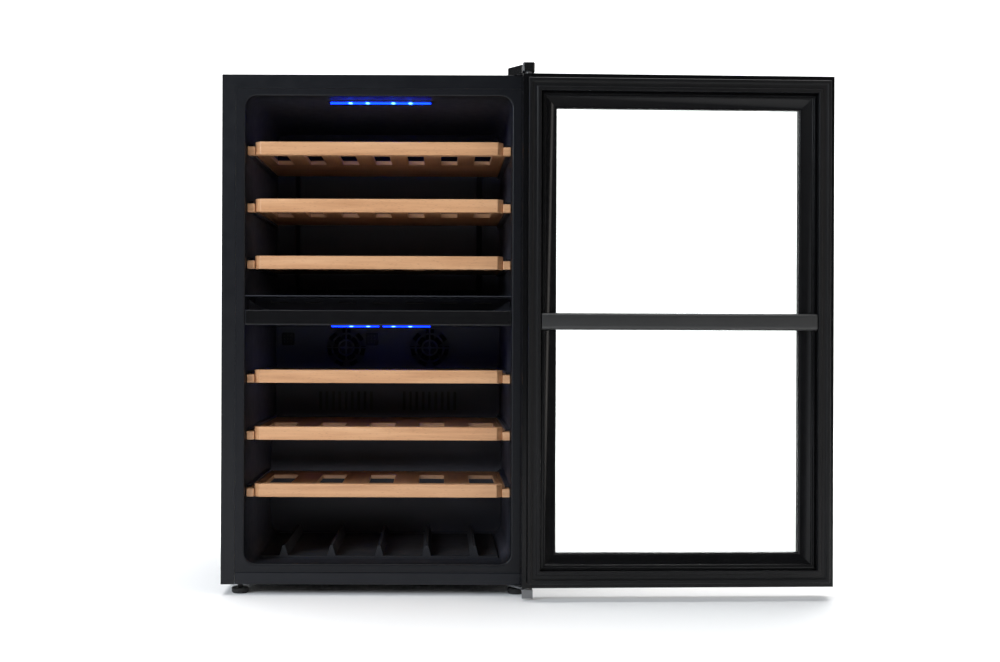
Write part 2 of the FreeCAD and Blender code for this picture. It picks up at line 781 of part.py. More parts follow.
def fan(name, x):
    """Small axial rotor: hub with slanted blades, turning about the Y axis."""
    start = f"{COVER_FRONT} + cover_wall + 3"
    hub = round_bar("rotor_hub", "rotor_length", x, start, FAN_HEIGHT, "y")
    reach = value("fan_hole - blade_gap - rotor_hub") + 1
    wide = value("rotor_length") * 1.7
    thick = value("blade_gauge")
    shape = Part.makeBox(wide, thick, reach, FreeCAD.Vector(-wide / 2, -thick / 2, value("rotor_hub") - 1))
    shape.rotate(FreeCAD.Vector(0, 0, 0), FreeCAD.Vector(0, 0, 1), 32)
    blades = []
    for i in range(BLADES):
        blade = shape.copy()
        blade.rotate(FreeCAD.Vector(0, 0, 0), FreeCAD.Vector(0, 1, 0), 360 * i / BLADES)
        blade.translate(FreeCAD.Vector(value(x), value(f"{start} + rotor_length / 2"), value(FAN_HEIGHT)))
        blades.append(plain_feature(blade))
    bore = round_bar("2", "rotor_length + 4", x, f"{start} - 2", FAN_HEIGHT, "y")
    return node(name, cut(fuse(hub, *blades), bore))


def fan_motors():
    start = f"{COVER_FRONT} + cover_wall + 3"
    motors = []
    for x in ("0 - fan_offset", "fan_offset"):
        can = round_bar("rotor_hub + 4", "motor_length", x, f"{start} + rotor_length + 1", FAN_HEIGHT, "y")
        shaft = round_bar("2 - pin_clearance", "rotor_length", x, f"{start} + 2", FAN_HEIGHT, "y")
        arm = box((f"{x} - fan_hole - 6", f"{x} + fan_hole + 6"),
                  (f"{start} + rotor_length + 2", f"{start} + rotor_length + 2 + fan_arm_gauge"),
                  (f"{FAN_HEIGHT} - fan_arm_width / 2", f"{FAN_HEIGHT} + fan_arm_width / 2"))
        motors.append(fuse(can, shaft, arm))
    return node("fan_motors", group(*motors))


def sensor_covers():
    covers = []
    low = f"({FAN_HEIGHT} + sensor_rise)"
    for x in ("0 - sensor_x_outer", "0 - sensor_x_inner"):
        cap = box((f"{x} - sensor_size / 2", f"{x} + sensor_size / 2"),
                  (f"{COVER_FRONT} - sensor_depth", COVER_FRONT), (low, f"{low} + sensor_size"))
        cap = round_edges(cap, "sensor_round", lambda e: runs_along(e, 1))
        holes = []
        for i in range(3):
            for j in range(3):
                holes.append(round_bar("sensor_hole", "sensor_depth - 1", f"{x} + {i - 1} * sensor_hole_pitch",
                                       f"{COVER_FRONT} - sensor_depth - 1",
                                       f"{low} + sensor_size / 2 + {j - 1} * sensor_hole_pitch", "y"))
        covers.append(cut(cap, *holes))
    return node("sensor_covers", group(*covers))


# Lamps

def lamp_parts(ceiling, back, breaks):
    """Housing and lens segments of one strip lamp under a ceiling."""
    half = "(lamp_length / 2)"
    depth = (back, f"{back} + lamp_width")
    housing = box(both_sides(half), depth, (f"{ceiling} - lamp_body", ceiling))
    below = value(ceiling) - 1
    housing = round_edges(housing, "lamp_round", lambda e: runs_along(e, 0) and e.CenterOfMass.z < below)
    middle = f"({back} + lamp_width / 2)"
    lenses = []
    for start, end in breaks:
        lens = box((start, end), (f"{middle} - lens_width / 2", f"{middle} + lens_width / 2"),
                   (f"{ceiling} - lamp_body - lens_gauge", f"{ceiling} - lamp_body"))
        under = value(f"{ceiling} - lamp_body") - 1
        lenses.append(round_edges(lens, "lens_round", lambda e: runs_along(e, 0) and e.CenterOfMass.z < under))
    return housing, lenses


def lamps():
    start, end = "0 - lamp_length / 2 + lens_margin", "lamp_length / 2 - lens_margin"
    whole = [(start, end)]
    halves = [(start, "0 - lens_break"), ("lens_break", end)]
    upper, upper_lens = lamp_parts(CEILING, "upper_lamp_back", whole)
    lower, lower_lenses = lamp_parts(DIVIDER_LOW, "lower_lamp_back", halves)
    node("lamp_housings", group(upper, lower))
    node("lamp_lenses", group(*upper_lens, *lower_lenses))


# Shelves

def shelf(number, low):
    upper = number > 3
    count = UPPER_SLOTS if upper else LOWER_SLOTS
    kind = "upper" if upper else "lower"
    front = "shelf_back_of_face"
    runner_half = f"({BAY_HALF} - shelf_side_gap)"
    half = f"({BAY_HALF} - shelf_side_gap - trim_inset)"
    behind = f"({front} + trim_depth)"
    end = shelf_back(number)

    outline = [
        (f"0 - {half}", behind),
        (f"0 - {half}", f"{front} + trim_chamfer"),
        (f"0 - {half} + trim_chamfer", front),
        (f"{half} - trim_chamfer", front),
        (half, f"{front} + trim_chamfer"),
        (half, behind),
    ]
    bar = place(prism("XY_Plane", outline, "trim_height"), "0", "0", low)
    ends = box(both_sides(runner_half), (f"{front} + 3", behind), (low, f"{low} + runner_height"))
    node(f"shelf_{number}_trim", fuse(bar, ends))

    under = f"{low} + board_rise"
    board = box(both_sides(half), (behind, end), (under, f"{under} + board_gauge"))
    slots = []
    for i in range(count):
        middle = f"({i - count // 2} * {kind}_slot_pitch)"
        slots.append(box((f"{middle} - {kind}_slot_width / 2", f"{middle} + {kind}_slot_width / 2"),
                         (f"{front} + {kind}_slot_front", f"{front} + {kind}_slot_back"),
                         (low, f"{low} + trim_height")))
    runners = []
    for side in (-1, 1):
        across = tuple(sorted((f"{side} * {half}", f"{side} * {runner_half}"), key=value))
        runners.append(box(across, (behind, end), (under, f"{low} + runner_height")))
    node(f"shelf_{number}_board", group(cut(board, *slots), *runners))


def floor_rack():
    """Loose tray with low cross ribs that keep bottles apart on the floor of the bay."""
    half = f"({BAY_HALF} - bay_corner)"
    low = f"({BAY_FLOOR} + 0.3)"
    depth = ("rack_front", "rack_front + rack_depth")
    base = box(both_sides(half), depth, (low, f"{low} + rack_base"))
    ribs = []
    for i in range(RACK_RIBS):
        at = f"{i - RACK_RIBS // 2} * rack_pitch"
        rib = prism("XZ_Plane", [(f"{at} - rack_rib * 2", low), (f"{at} + rack_rib * 2", low),
                                 (f"{at} + rack_rib / 2", f"{low} + rack_height"),
                                 (f"{at} - rack_rib / 2", f"{low} + rack_height")], "rack_depth")
        ribs.append(place(rib, "0", depth[1], "0"))
    return node("floor_rack", fuse(base, *ribs))


# Door, drawn shut and swung to its rest angle

def door_ring(outer, inner, depth, low_inset):
    """Rectangular ring in the door's plane; insets are measured from the door's edges."""
    outside = box(both_sides(f"{DOOR_HALF} - {outer}"), depth,
                  (f"{DOOR_LOW} + {outer}", f"{DOOR_TOP} - {outer}"))
    through = (f"{depth[0]} - 5", f"{depth[1]} + 5")
    inside = box(both_sides(f"{DOOR_HALF} - {inner}"), through,
                 (f"{DOOR_LOW} + {low_inset}", f"{DOOR_TOP} - {low_inset}"))
    return cut(outside, inside)


def bush_holes():
    holes = []
    for low, length in ((f"{DOOR_TOP} - pin_in_door - 2", "pin_in_door + 4"),
                        (f"{DOOR_LOW} - 2", "pin_in_door + 4")):
        holes.append(round_bar("bush_radius", length, HINGE_X, HINGE_Y, low))
    return holes


def door():
    ring = door_ring("0", "frame_lip", (DOOR_FRONT, DOOR_BACK), "frame_lip")
    rebate = box(both_sides(f"{DOOR_HALF} - frame_rebate"), (GLASS_OUT, f"{DOOR_BACK} + 5"),
                 (f"{DOOR_LOW} + frame_rebate", f"{DOOR_TOP} - frame_rebate"))
    outside = round_edges(ring, "2", lambda e: outer_corner(e))
    frame = cut(outside, rebate, *bush_holes())
    lengths = mitred(frame, DOOR_HALF, f"{DOOR_LOW}", DOOR_TOP, "frame_lip")
    door_node("door_frame", *lengths)

    def pane(front):
        inset = "(frame_rebate + glass_edge_gap)"
        return box(both_sides(f"{DOOR_HALF} - {inset}"), (front, f"{front} + glass_gauge"),
                   (f"{DOOR_LOW} + {inset}", f"{DOOR_TOP} - {inset}"))

    door_node("outer_glass", pane(GLASS_OUT))
    door_node("inner_glass", pane(GLASS_IN))
    spacer_out = "(frame_rebate + glass_edge_gap + 1)"
    spacer_in = f"({spacer_out} + spacer_width)"
    spacer = door_ring(spacer_out, spacer_in, (f"{GLASS_OUT} + glass_gauge", GLASS_IN), spacer_in)
    door_node("glass_spacer", spacer)

    inner_out = "(frame_rebate + seat_gap)"
    inner_in = "(frame_rebate + inner_frame_width)"
    plain = door_ring(inner_out, inner_in, (INNER_FRONT, INNER_BACK), inner_in)
    bevel = doc.addObject("Part::Wedge", named("bevel"))
    wide = f"({DOOR_HALF} - {inner_in})"
    mouth = f"({DOOR_HALF} - frame_rebate - 3)"
    bind(bevel, Xmin=f"0 - {wide}", Xmax=wide, X2min=f"0 - {mouth}", X2max=mouth,
         Zmin=f"{DOOR_LOW} + {inner_in}", Zmax=f"{DOOR_TOP} - {inner_in}",
         Z2min=f"{DOOR_LOW} + frame_rebate + 3", Z2max=f"{DOOR_TOP} - frame_rebate - 3",
         Ymin=f"{INNER_BACK} - inner_frame_bevel", Ymax=INNER_BACK)
    inner = cut(plain, bevel)
    door_node("door_inner_frame", *mitred(inner, f"{DOOR_HALF} - frame_rebate",
                                          f"{DOOR_LOW} + frame_rebate", f"{DOOR_TOP} - frame_rebate",
                                          "inner_frame_width"))

    gasket_in = "(gasket_inset + gasket_width)"
    soft = door_ring("gasket_inset", gasket_in, (DOOR_BACK, "0 - gasket_relief"), gasket_in)
    groove_out, groove_in = "(gasket_inset + 8)", "(gasket_inset + 8 + gasket_groove)"
    groove = door_ring(groove_out, groove_in, ("0 - gasket_relief - 3", "5"), groove_in)
    door_node("door_gasket", *mitred(cut(soft, groove), f"{DOOR_HALF} - gasket_inset",
                                     f"{DOOR_LOW} + gasket_inset", f"{DOOR_TOP} - gasket_inset",
                                     "gasket_width"))

    middle = f"({DIVIDER_LOW} + 6.5)"
    tall = (f"{middle} - seal_bar_height / 2", f"{middle} + seal_bar_height / 2")
    face = box(both_sides(f"{DOOR_HALF} - frame_rebate"), (INNER_BACK, "0 - seal_bar_clear"), tall)
    face = round_edges(face, "3", lambda e: runs_along(e, 0) and e.CenterOfMass.y > -2)
    web = box(both_sides(f"{wide} - seat_gap"), (INNER_FRONT, f"{INNER_BACK} + 1"),
              (f"{middle} - seal_bar_height / 2 + 2", f"{middle} + seal_bar_height / 2 - 2"))
    door_node("zone_seal_bar", fuse(face, web))
    handle()
    hinge_bushes()


def outer_corner(edge):
    middle = edge.CenterOfMass
    at_front = middle.y < value(DOOR_FRONT) + 0.5
    on_side = abs(abs(middle.x) - value(DOOR_HALF)) < 0.5
    on_end = abs(middle.z - value(DOOR_TOP)) < 0.5 or abs(middle.z - value(f"{DOOR_LOW}")) < 0.5
    return at_front and (on_side or on_end)


def handle():
    """Upright bar on two posts, near the door's free edge."""
    x = f"(0 - {DOOR_HALF} + handle_inset)"
    middle = f"(({DOOR_LOW} + {DOOR_TOP}) / 2)"
    y = f"({DOOR_FRONT} - handle_stand)"
    low = f"{middle} - handle_length / 2"
    bar = round_bar("handle_radius", "handle_length", x, y, low)
    grip = round_edges(bar, "grip_round", lambda e: e.Curve.TypeId == "Part::GeomCircle")
    posts = []
    for at in (f"{low} + post_inset", f"{middle} + handle_length / 2 - post_inset"):
        posts.append(round_bar("post_radius", "handle_stand", x, y, at, "y"))
    door_node("door_handle", fuse(grip, *posts))


def hinge_bushes():
    """Plastic bushes in the door's top and bottom ends, with a thrust flange outside."""
    bushes = []
    for low, flange in ((f"{DOOR_TOP} - pin_in_door - 2", DOOR_TOP),
                        (f"{DOOR_LOW}", f"{DOOR_LOW} - bush_flange_gauge")):
        sleeve = round_bar("bush_radius - 0.02", "pin_in_door + 2", HINGE_X, HINGE_Y, low)
        washer = round_bar("bush_flange", "bush_flange_gauge", HINGE_X, HINGE_Y, flange)
        bore = round_bar("pin_radius + pin_clearance", "pin_in_door + 30", HINGE_X, HINGE_Y, f"{low} - 10")
        bushes.append(cut(fuse(sleeve, washer), bore))
    door_node("hinge_bushes", *bushes)


# Hinge hardware on the cabinet

def plate_outline(inset):
    """Plan of a hinge plate: a narrow arm to the pivot, widening over the cabinet."""
    right = f"({HINGE_X} + hinge_arm / 2 - {inset})"
    arm = f"({HINGE_X} - hinge_arm / 2 + {inset})"
    left = f"({HINGE_X} + hinge_arm / 2 - hinge_foot + {inset})"
    front = f"({HINGE_Y} - hinge_reach + {inset})"
    back = f"(hinge_back - {inset})"
    return [(arm, front), (right, front), (right, back), (left, back), (left, "hinge_step"),
            (arm, f"{HINGE_Y} + hinge_reach")]


def hinges():
    plate = place(prism("XY_Plane", plate_outline("3"), "hinge_plate"), "0", "0", BODY_TOP)
    node("top_hinge_plate", cut(plate, *screw_holes(TOP_SCREWS, f"{BODY_TOP} - 2", "10")))

    cap = prism("XY_Plane", plate_outline("0"), "hinge_cover_height")
    place(cap, "0", "0", BODY_TOP)
    cap = round_edges(cap, "2.5", lambda e: runs_along(e, 2))
    cap = round_edges(cap, "1.5", lambda e: e.CenterOfMass.z > value(BODY_TOP) + 10 and not runs_along_z(e))
    room = prism("XY_Plane", plate_outline("hinge_cover_wall + 0.5"),
                 "hinge_cover_height - hinge_cover_wall + 2")
    node("top_hinge_cover", cut(cap, place(room, "0", "0", f"{BODY_TOP} - 2")))

    under = "(foot_height - hinge_plate)"
    bracket = place(prism("XY_Plane", plate_outline("1"), "hinge_plate"), "0", "0", under)
    leg = box((f"{HINGE_X} - hinge_arm / 2 + 1", f"{HINGE_X} + hinge_arm / 2 - 1"),
              (f"{HINGE_Y} - hinge_reach + 1", f"{HINGE_Y} - hinge_reach + 1 + hinge_plate"),
              ("hinge_leg_low", f"{under} + 1"))
    x, y = FOOT_SPOTS["front_right_foot"]
    stem = round_bar("stem_radius + 1", "10", x, y, f"{under} - 3")
    holes = screw_holes(BOTTOM_SCREWS, f"{under} - 2", "10")
    node("bottom_hinge_bracket", cut(fuse(bracket, leg), stem, *holes))

    top_pin = round_bar("pin_radius", f"{BODY_TOP} - {DOOR_TOP} + pin_in_door", HINGE_X, HINGE_Y,
                        f"{DOOR_TOP} - pin_in_door")
    bottom_pin = round_bar("pin_radius", f"{DOOR_LOW} - foot_height + pin_in_door", HINGE_X, HINGE_Y,
                           "foot_height")
    node("hinge_pins", group(top_pin, bottom_pin))

    screws = []
    for x, y in TOP_SCREWS:
        shank = round_bar("screw_radius", "screw_length", x, y, f"{BODY_TOP} + hinge_plate - screw_length")
        head = round_bar("screw_head", "screw_head_height", x, y, f"{BODY_TOP} + hinge_plate")
        screws.append(fuse(shank, head))
    for x, y in BOTTOM_SCREWS:
        shank = round_bar("screw_radius", "screw_length", x, y, under)
        head = round_bar("screw_head", "screw_head_height", x, y, f"{under} - screw_head_height")
        screws.append(fuse(shank, head))
    node("hinge_screws", group(*screws))


def runs_along_z(edge):
    return len(edge.Vertexes) == 2 and runs_along(edge, 2)


# Feet

def feet():
    for name, (x, y) in FOOT_SPOTS.items():
        outline = [
            ("0", "0"),
            ("foot_radius - foot_pad_round", "0"),
            ("foot_radius", "foot_pad_round"),
            ("foot_radius", "foot_pad - 1"),
            ("foot_radius - 1", "foot_pad"),
            ("stem_radius", "foot_pad"),
            ("stem_radius", "foot_pad + stem_length"),
            ("0", "foot_pad + stem_length"),
        ]
        node(name, place(turned(outline), x, y, "0"))


# Machine compartment

def compressor():
    outline = [
        ("0", MOUNT_TOP),
        ("compressor_radius - 12", MOUNT_TOP),
        ("compressor_radius", f"{MOUNT_TOP} + compressor_dome"),
        ("compressor_radius", f"{MOUNT_TOP} + compressor_height - compressor_dome"),
        ("compressor_radius - compressor_top_round", f"{MOUNT_TOP} + compressor_height"),
        ("0", f"{MOUNT_TOP} + compressor_height"),
    ]
    can = place(turned(outline), "compressor_x", MACHINE_Y, "0")
    plate = box(("compressor_x - mount_plate_width / 2", "compressor_x + mount_plate_width / 2"),
                (f"{MACHINE_Y} - mount_plate_depth / 2", f"{MACHINE_Y} + mount_plate_depth / 2"),
                (f"{MOUNT_TOP} - mount_plate_gauge", MOUNT_TOP))
    stubs = []
    for rise in ("suction_rise", "discharge_rise"):
        stubs.append(round_bar("pipe_radius + 1.5", "20", "compressor_x - compressor_radius - stub_reach",
                               MACHINE_Y, f"{MOUNT_TOP} + {rise}", "x"))
    node("compressor", fuse(can, plate, *stubs))

    grommets = []
    for dx in (-1, 1):
        for dy in (-1, 1):
            x, y = f"compressor_x + {dx} * grommet_x", f"{MACHINE_Y} + {dy} * grommet_y"
            grommets.append(round_bar("grommet_radius", "grommet_height", x, y, PAN_TOP))
    node("compressor_grommets", group(*grommets))

    side = "(compressor_x + compressor_radius)"
    shut = box((f"{side} - 8", f"{side} + terminal_width"),
               (f"{MACHINE_Y} - terminal_depth / 2", f"{MACHINE_Y} + terminal_depth / 2"),
               (f"{MOUNT_TOP} + terminal_rise", f"{MOUNT_TOP} + terminal_rise + terminal_height"))
    shut = round_edges(shut, "3", lambda e: e.CenterOfMass.x > value(side) + 5)
    clear = round_bar("compressor_radius + seat_gap", "compressor_height + 40", "compressor_x", MACHINE_Y,
                      f"{MOUNT_TOP} - 10")
    node("terminal_cover", cut(shut, clear))

    low = f"({MOUNT_TOP} + compressor_height + 0.5)"
    across = ("compressor_x - tray_width / 2", "compressor_x + tray_width / 2")
    deep = (f"{MACHINE_Y} - tray_depth / 2", f"{MACHINE_Y} + tray_depth / 2")
    tray = box(across, deep, (low, f"{low} + tray_height"))
    tray = round_edges(tray, "tray_corner", lambda e: runs_along(e, 2))
    hollow = box((f"{across[0]} + tray_wall", f"{across[1]} - tray_wall"),
                 (f"{deep[0]} + tray_wall", f"{deep[1]} - tray_wall"),
                 (f"{low} + tray_wall", f"{low} + tray_height + 5"))
    hollow = round_edges(hollow, "tray_corner - tray_wall", lambda e: runs_along(e, 2))
    node("drip_tray", cut(tray, hollow))


def refrigerant_line():
    """Filter drier, and the copper pipes from the compressor's stubs to it and to the condenser."""
    bottom = f"({MOUNT_TOP} + drier_rise)"
    outline = [
        ("0", "0"),
        ("pipe_radius + 1", "0"),
        ("drier_radius", "drier_neck"),
        ("drier_radius", "drier_length - drier_neck"),
        ("pipe_radius + 1", "drier_length"),
        ("0", "drier_length"),
    ]
    node("filter_drier", place(turned(outline), "drier_x", MACHINE_Y, bottom))

    deep = value(MACHINE_Y)
    stub = value("compressor_x - compressor_radius - stub_reach")
    drier = value("drier_x")
    out = value(CONDENSER_Y)
    margin = 16
    edge = value(f"0 - {CONDENSER_HALF}") - margin
    suction = value(f"{MOUNT_TOP} + suction_rise")
    discharge = value(f"{MOUNT_TOP} + discharge_rise")
    first_pass = value(CONDENSER_LOW)
    top = value(RECESS_TOP) - margin
    up_to = top + 14
    away = stub - value("pipe_stand_off")
    beside = stub - 24
    forward = deep - value("pipe_stand_off")
    low = value(bottom)
    dip = low - 18
    drier_forward = deep - 30
    routes = [
        [(stub, deep, discharge), (away, deep, discharge), (away, deep, top), (edge, deep, top),
         (edge, out, top), (edge, out, first_pass), (edge + margin, out, first_pass)],
        [(stub, deep, suction), (beside, deep, suction), (beside, forward, suction), (beside, forward, up_to)],
        [(drier, deep, low), (drier, deep, dip), (drier, drier_forward, dip), (drier, drier_forward, up_to)],
    ]
    arc, pipe = value("pipe_arc"), value("pipe_radius")
    tubes = [plain_feature(tube_along(route, arc, pipe)) for route in routes]
    return node("refrigerant_pipes", group(*tubes))


def power_inlet():
    """Appliance inlet block with its socket facing back, on the rear lip of the base pan."""
    low = "(foot_height + shell_gauge + inlet_low)"
    across = ("inlet_x - inlet_width / 2", "inlet_x + inlet_width / 2")
    back = "(body_depth - 4)"
    block = box(across, (f"{back} - inlet_depth", back), (low, f"{low} + inlet_height"))
    block = round_edges(block, "3", lambda e: runs_along(e, 1))
    side = "(inlet_wall + inlet_shoulder)"
    socket = box((f"{across[0]} + {side}", f"{across[1]} - {side}"),
                 (f"{back} - inlet_depth + inlet_shoulder", f"{back} + 5"),
                 (f"{low} + inlet_wall", f"{low} + inlet_height - inlet_wall"))
    leg = box((f"{across[0]} + inlet_wall", f"{across[1]} - inlet_wall"),
              (f"{back} - inlet_depth", f"{back} - inlet_depth + 3"), (PAN_TOP, f"{low} + 1"))
    node("power_inlet", fuse(cut(block, socket), leg))


def condenser():
    """Serpentine tube behind the back panel, with upright wires welded across its passes."""
    half, low = value(f"{CONDENSER_HALF}"), value(f"{CONDENSER_LOW}")
    pitch, radius = value("condenser_pitch"), value("condenser_tube")
    deep = value(CONDENSER_Y)
    start = FreeCAD.Vector(-half, deep, low)
    ring = Part.Wire(Part.Circle(start, FreeCAD.Vector(1, 0, 0), radius).toShape())
    edges = []
    for i in range(CONDENSER_PASSES):
        side = 1 if i % 2 == 0 else -1
        level = low + i * pitch
        one = FreeCAD.Vector(-side * half, deep, level)
        two = FreeCAD.Vector(side * half, deep, level)
        edges.append(Part.LineSegment(one, two).toShape())
        if i < CONDENSER_PASSES - 1:
            outward = FreeCAD.Vector(side * (half + pitch / 2), deep, level + pitch / 2)
            edges.append(Part.Arc(two, outward, two + FreeCAD.Vector(0, 0, pitch)).toShape())
    tube = Part.Wire(edges).makePipeShell([ring], True, True)
    node("condenser_tube", plain_feature(tube))

    wires = []
    reach = f"(2 * wire_overhang + condenser_pitch * {CONDENSER_PASSES - 1})"
    behind = f"({CONDENSER_Y} + condenser_tube + wire_radius + 0.02)"
    for i in range(CONDENSER_WIRES):
        x = f"({i} * 2 / {CONDENSER_WIRES - 1} - 1) * ({CONDENSER_HALF} - wire_inset)"
        wires.append(round_bar("wire_radius", reach, x, behind, f"{CONDENSER_LOW} - wire_overhang"))
    node("condenser_wires", group(*wires))

    clips = []
    for side in (-1, 1):
        for i in (0, CONDENSER_PASSES - 1):
            x, z = f"{side} * ({CONDENSER_HALF} - clip_inset)", f"({CONDENSER_LOW} + {i} * condenser_pitch)"
            arm = box((f"{x} - clip_width / 2", f"{x} + clip_width / 2"),
                      ("body_depth", f"{CONDENSER_Y} + condenser_tube + 2"),
                      (f"{z} - condenser_tube - clip_margin", f"{z} + condenser_tube + clip_margin"))
            hole = round_bar("condenser_tube + 0.1", "clip_width + 4", f"{x} - clip_width / 2 - 2",
                             CONDENSER_Y, z, "x")
            clips.append(cut(arm, hole))
    node("condenser_clips", group(*clips))


def build():
    outer_shell()
    back_panel()
    base_pan()
    bottom_front_rail()
    inner_liner()
    insulation_foam()
    zone_divider()
    duct_grille()
    control_panel()
    lower_evaporator_cover()
    upper_evaporator_cover()
    evaporator("lower_evaporator", "lower_coil_half", f"{HUMP_TOP} + coil_margin",
               f"{FAN_HEIGHT} - fan_hole - coil_margin")
    evaporator("upper_evaporator", f"({UPPER_COVER_HALF} - coil_margin)",
               f"{DIVIDER_HIGH} + upper_cover_low + coil_margin",
               f"{DIVIDER_HIGH} + upper_cover_low + upper_cover_tall - coil_margin")
    fan("left_fan_rotor", "(0 - fan_offset)")
    fan("right_fan_rotor", "fan_offset")
    fan_motors()
    sensor_covers()
    lamps()
    for number, low in enumerate(runner_heights(), start=1):
        shelf(number, low)
    floor_rack()
    door()
    hinges()
    feet()
    compressor()
    refrigerant_line()
    power_inlet()
    condenser()


def check_and_export():
    doc.recompute()
    failed = [o.Label for o in doc.Objects if "Invalid" in o.State or "Error" in o.State]
    if failed:
        raise RuntimeError(f"failed objects: {failed}")
    os.makedirs("parts", exist_ok=True)
    for made in nodes:
        if made.Shape.isNull() or not made.Shape.isValid() or not made.Shape.Solids:
            raise RuntimeError(f"{made.Label} has no valid shape")
        made.Shape.exportStep(f"parts/{made.Label}.step")
    print(f"{len(nodes)} sub-parts")


build()
check_and_export()
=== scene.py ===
"""Looks of the wine cooler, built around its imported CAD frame."""

import math

import bmesh
import bpy
from mathutils import Matrix, Vector


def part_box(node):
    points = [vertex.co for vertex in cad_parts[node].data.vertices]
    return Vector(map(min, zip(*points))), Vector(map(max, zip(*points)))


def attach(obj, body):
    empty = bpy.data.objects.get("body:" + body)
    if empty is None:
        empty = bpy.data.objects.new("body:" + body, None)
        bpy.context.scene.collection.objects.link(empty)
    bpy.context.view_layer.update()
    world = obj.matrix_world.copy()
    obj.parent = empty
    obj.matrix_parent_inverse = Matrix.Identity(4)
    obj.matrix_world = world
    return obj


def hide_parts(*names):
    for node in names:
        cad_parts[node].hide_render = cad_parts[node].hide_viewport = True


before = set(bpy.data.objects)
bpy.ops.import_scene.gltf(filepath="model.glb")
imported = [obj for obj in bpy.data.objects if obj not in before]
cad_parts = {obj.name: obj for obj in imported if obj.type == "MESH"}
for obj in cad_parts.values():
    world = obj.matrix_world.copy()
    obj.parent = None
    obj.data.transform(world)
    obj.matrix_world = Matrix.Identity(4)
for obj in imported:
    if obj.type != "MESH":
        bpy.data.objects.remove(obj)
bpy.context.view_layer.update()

MM = 0.001
DOOR_ANGLE = math.radians(182.5)
UP = Vector((0, 0, 1))
scene = bpy.context.scene


# Node graphs

class Graph:
    """A material's node tree, with short calls for the nodes that the finishes share."""

    def __init__(self, name):
        self.material = bpy.data.materials.new(name)
        self.material.use_nodes = True
        self.tree = self.material.node_tree
        self.shader = self.tree.nodes["Principled BSDF"]
        self.place = None

    def node(self, kind, **values):
        made = self.tree.nodes.new(kind)
        for key, given in values.items():
            setattr(made, key, given)
        return made

    def link(self, source, target):
        self.tree.links.new(source, target)

    def where(self, stretch=(1, 1, 1)):
        """Object coordinates, stretched along each axis."""
        if self.place is None:
            self.place = self.node("ShaderNodeTexCoord")
        mapping = self.node("ShaderNodeMapping")
        mapping.inputs["Scale"].default_value = stretch
        self.link(self.place.outputs["Object"], mapping.inputs["Vector"])
        return mapping.outputs["Vector"]

    def noise(self, scale, detail=4, stretch=(1, 1, 1), warp=0):
        made = self.node("ShaderNodeTexNoise")
        made.inputs["Scale"].default_value = scale
        made.inputs["Detail"].default_value = detail
        made.inputs["Roughness"].default_value = 0.55
        made.inputs["Distortion"].default_value = warp
        self.link(self.where(stretch), made.inputs["Vector"])
        return made.outputs["Fac"]

    def spots(self, scale, stretch=(1, 1, 1), feature="F1"):
        made = self.node("ShaderNodeTexVoronoi", feature=feature)
        made.inputs["Scale"].default_value = scale
        self.link(self.where(stretch), made.inputs["Vector"])
        return made.outputs["Distance"]

    def ramp(self, source, stops):
        """Colour ramp from (position, colour) pairs; a plain number is a grey."""
        made = self.node("ShaderNodeValToRGB")
        steps = made.color_ramp.elements
        while len(steps) < len(stops):
            steps.new(0.5)
        for step, (at, colour) in zip(steps, stops):
            step.position = at
            step.color = (colour,) * 3 + (1,) if isinstance(colour, (int, float)) else tuple(colour) + (1,)
        self.link(source, made.inputs["Fac"])
        return made.outputs["Color"]

    def span(self, source, low, high):
        """Spread a 0..1 value over low..high."""
        made = self.node("ShaderNodeMapRange")
        made.inputs["From Min"].default_value = 0.25
        made.inputs["From Max"].default_value = 0.75
        made.inputs["To Min"].default_value = low
        made.inputs["To Max"].default_value = high
        self.link(source, made.inputs["Value"])
        return made.outputs["Result"]

    def mix(self, factor, first, second):
        made = self.node("ShaderNodeMix", data_type="RGBA")
        sockets = (made.inputs["Factor"], made.inputs[6], made.inputs[7])
        for socket, given in zip(sockets, (factor, first, second)):
            if isinstance(given, (int, float)):
                socket.default_value = given
            elif isinstance(given, tuple):
                socket.default_value = given + (1,)
            else:
                self.link(given, socket)
        return made.outputs[2]

    def bump(self, heights):
        """Chain of (height, strength, depth in metres)."""
        last = None
        for height, strength, depth in heights:
            made = self.node("ShaderNodeBump")
            made.inputs["Strength"].default_value = strength
            made.inputs["Distance"].default_value = depth
            self.link(height, made.inputs["Height"])
            if last is not None:
                self.link(last, made.inputs["Normal"])
            last = made.outputs["Normal"]
        self.link(last, self.shader.inputs["Normal"])

    def set(self, **values):
        for key, given in values.items():
            socket = self.shader.inputs[key.replace("_", " ")]
            if hasattr(given, "is_output"):
                self.link(given, socket)
            else:
                socket.default_value = given + (1,) if isinstance(given, tuple) else given
        return self.material


def painted_edge_highlight(g, reach=0.0012):
    """Mask for painted highlights on edges: bright where a small rounding's normal leaves the face's own
    normal, dark on flats.
    """
    soft = g.node("ShaderNodeBevel", samples=4)
    soft.inputs["Radius"].default_value = reach
    plain = g.node("ShaderNodeNewGeometry")
    dot = g.node("ShaderNodeVectorMath", operation="DOT_PRODUCT")
    g.link(soft.outputs["Normal"], dot.inputs[0])
    g.link(plain.outputs["Normal"], dot.inputs[1])
    return g.ramp(dot.outputs["Value"], ((0.72, 1.0), (0.96, 0.0)))


def painted_steel():
    """Satin black paint with a faint orange peel, a little dust and painted highlights on the edges."""
    g = Graph("black_painted_steel")
    clouds = g.noise(6, detail=6)
    base = g.ramp(clouds, ((0.3, (0.0036, 0.0040, 0.0056)), (0.7, (0.0060, 0.0066, 0.0088))))
    # Painted highlight: the edges are lighter grey, as if their roundings catch the light.
    edge_highlighted = g.mix(painted_edge_highlight(g, 0.0008), base, (0.016, 0.017, 0.019))
    rough = g.span(g.noise(45, detail=5), 0.3, 0.42)
    g.bump(((g.noise(520, detail=2), 0.06, 0.0002), (g.noise(14, detail=2), 0.03, 0.001)))
    return g.set(Base_Color=edge_highlighted, Roughness=rough, Specular_IOR_Level=0.28)
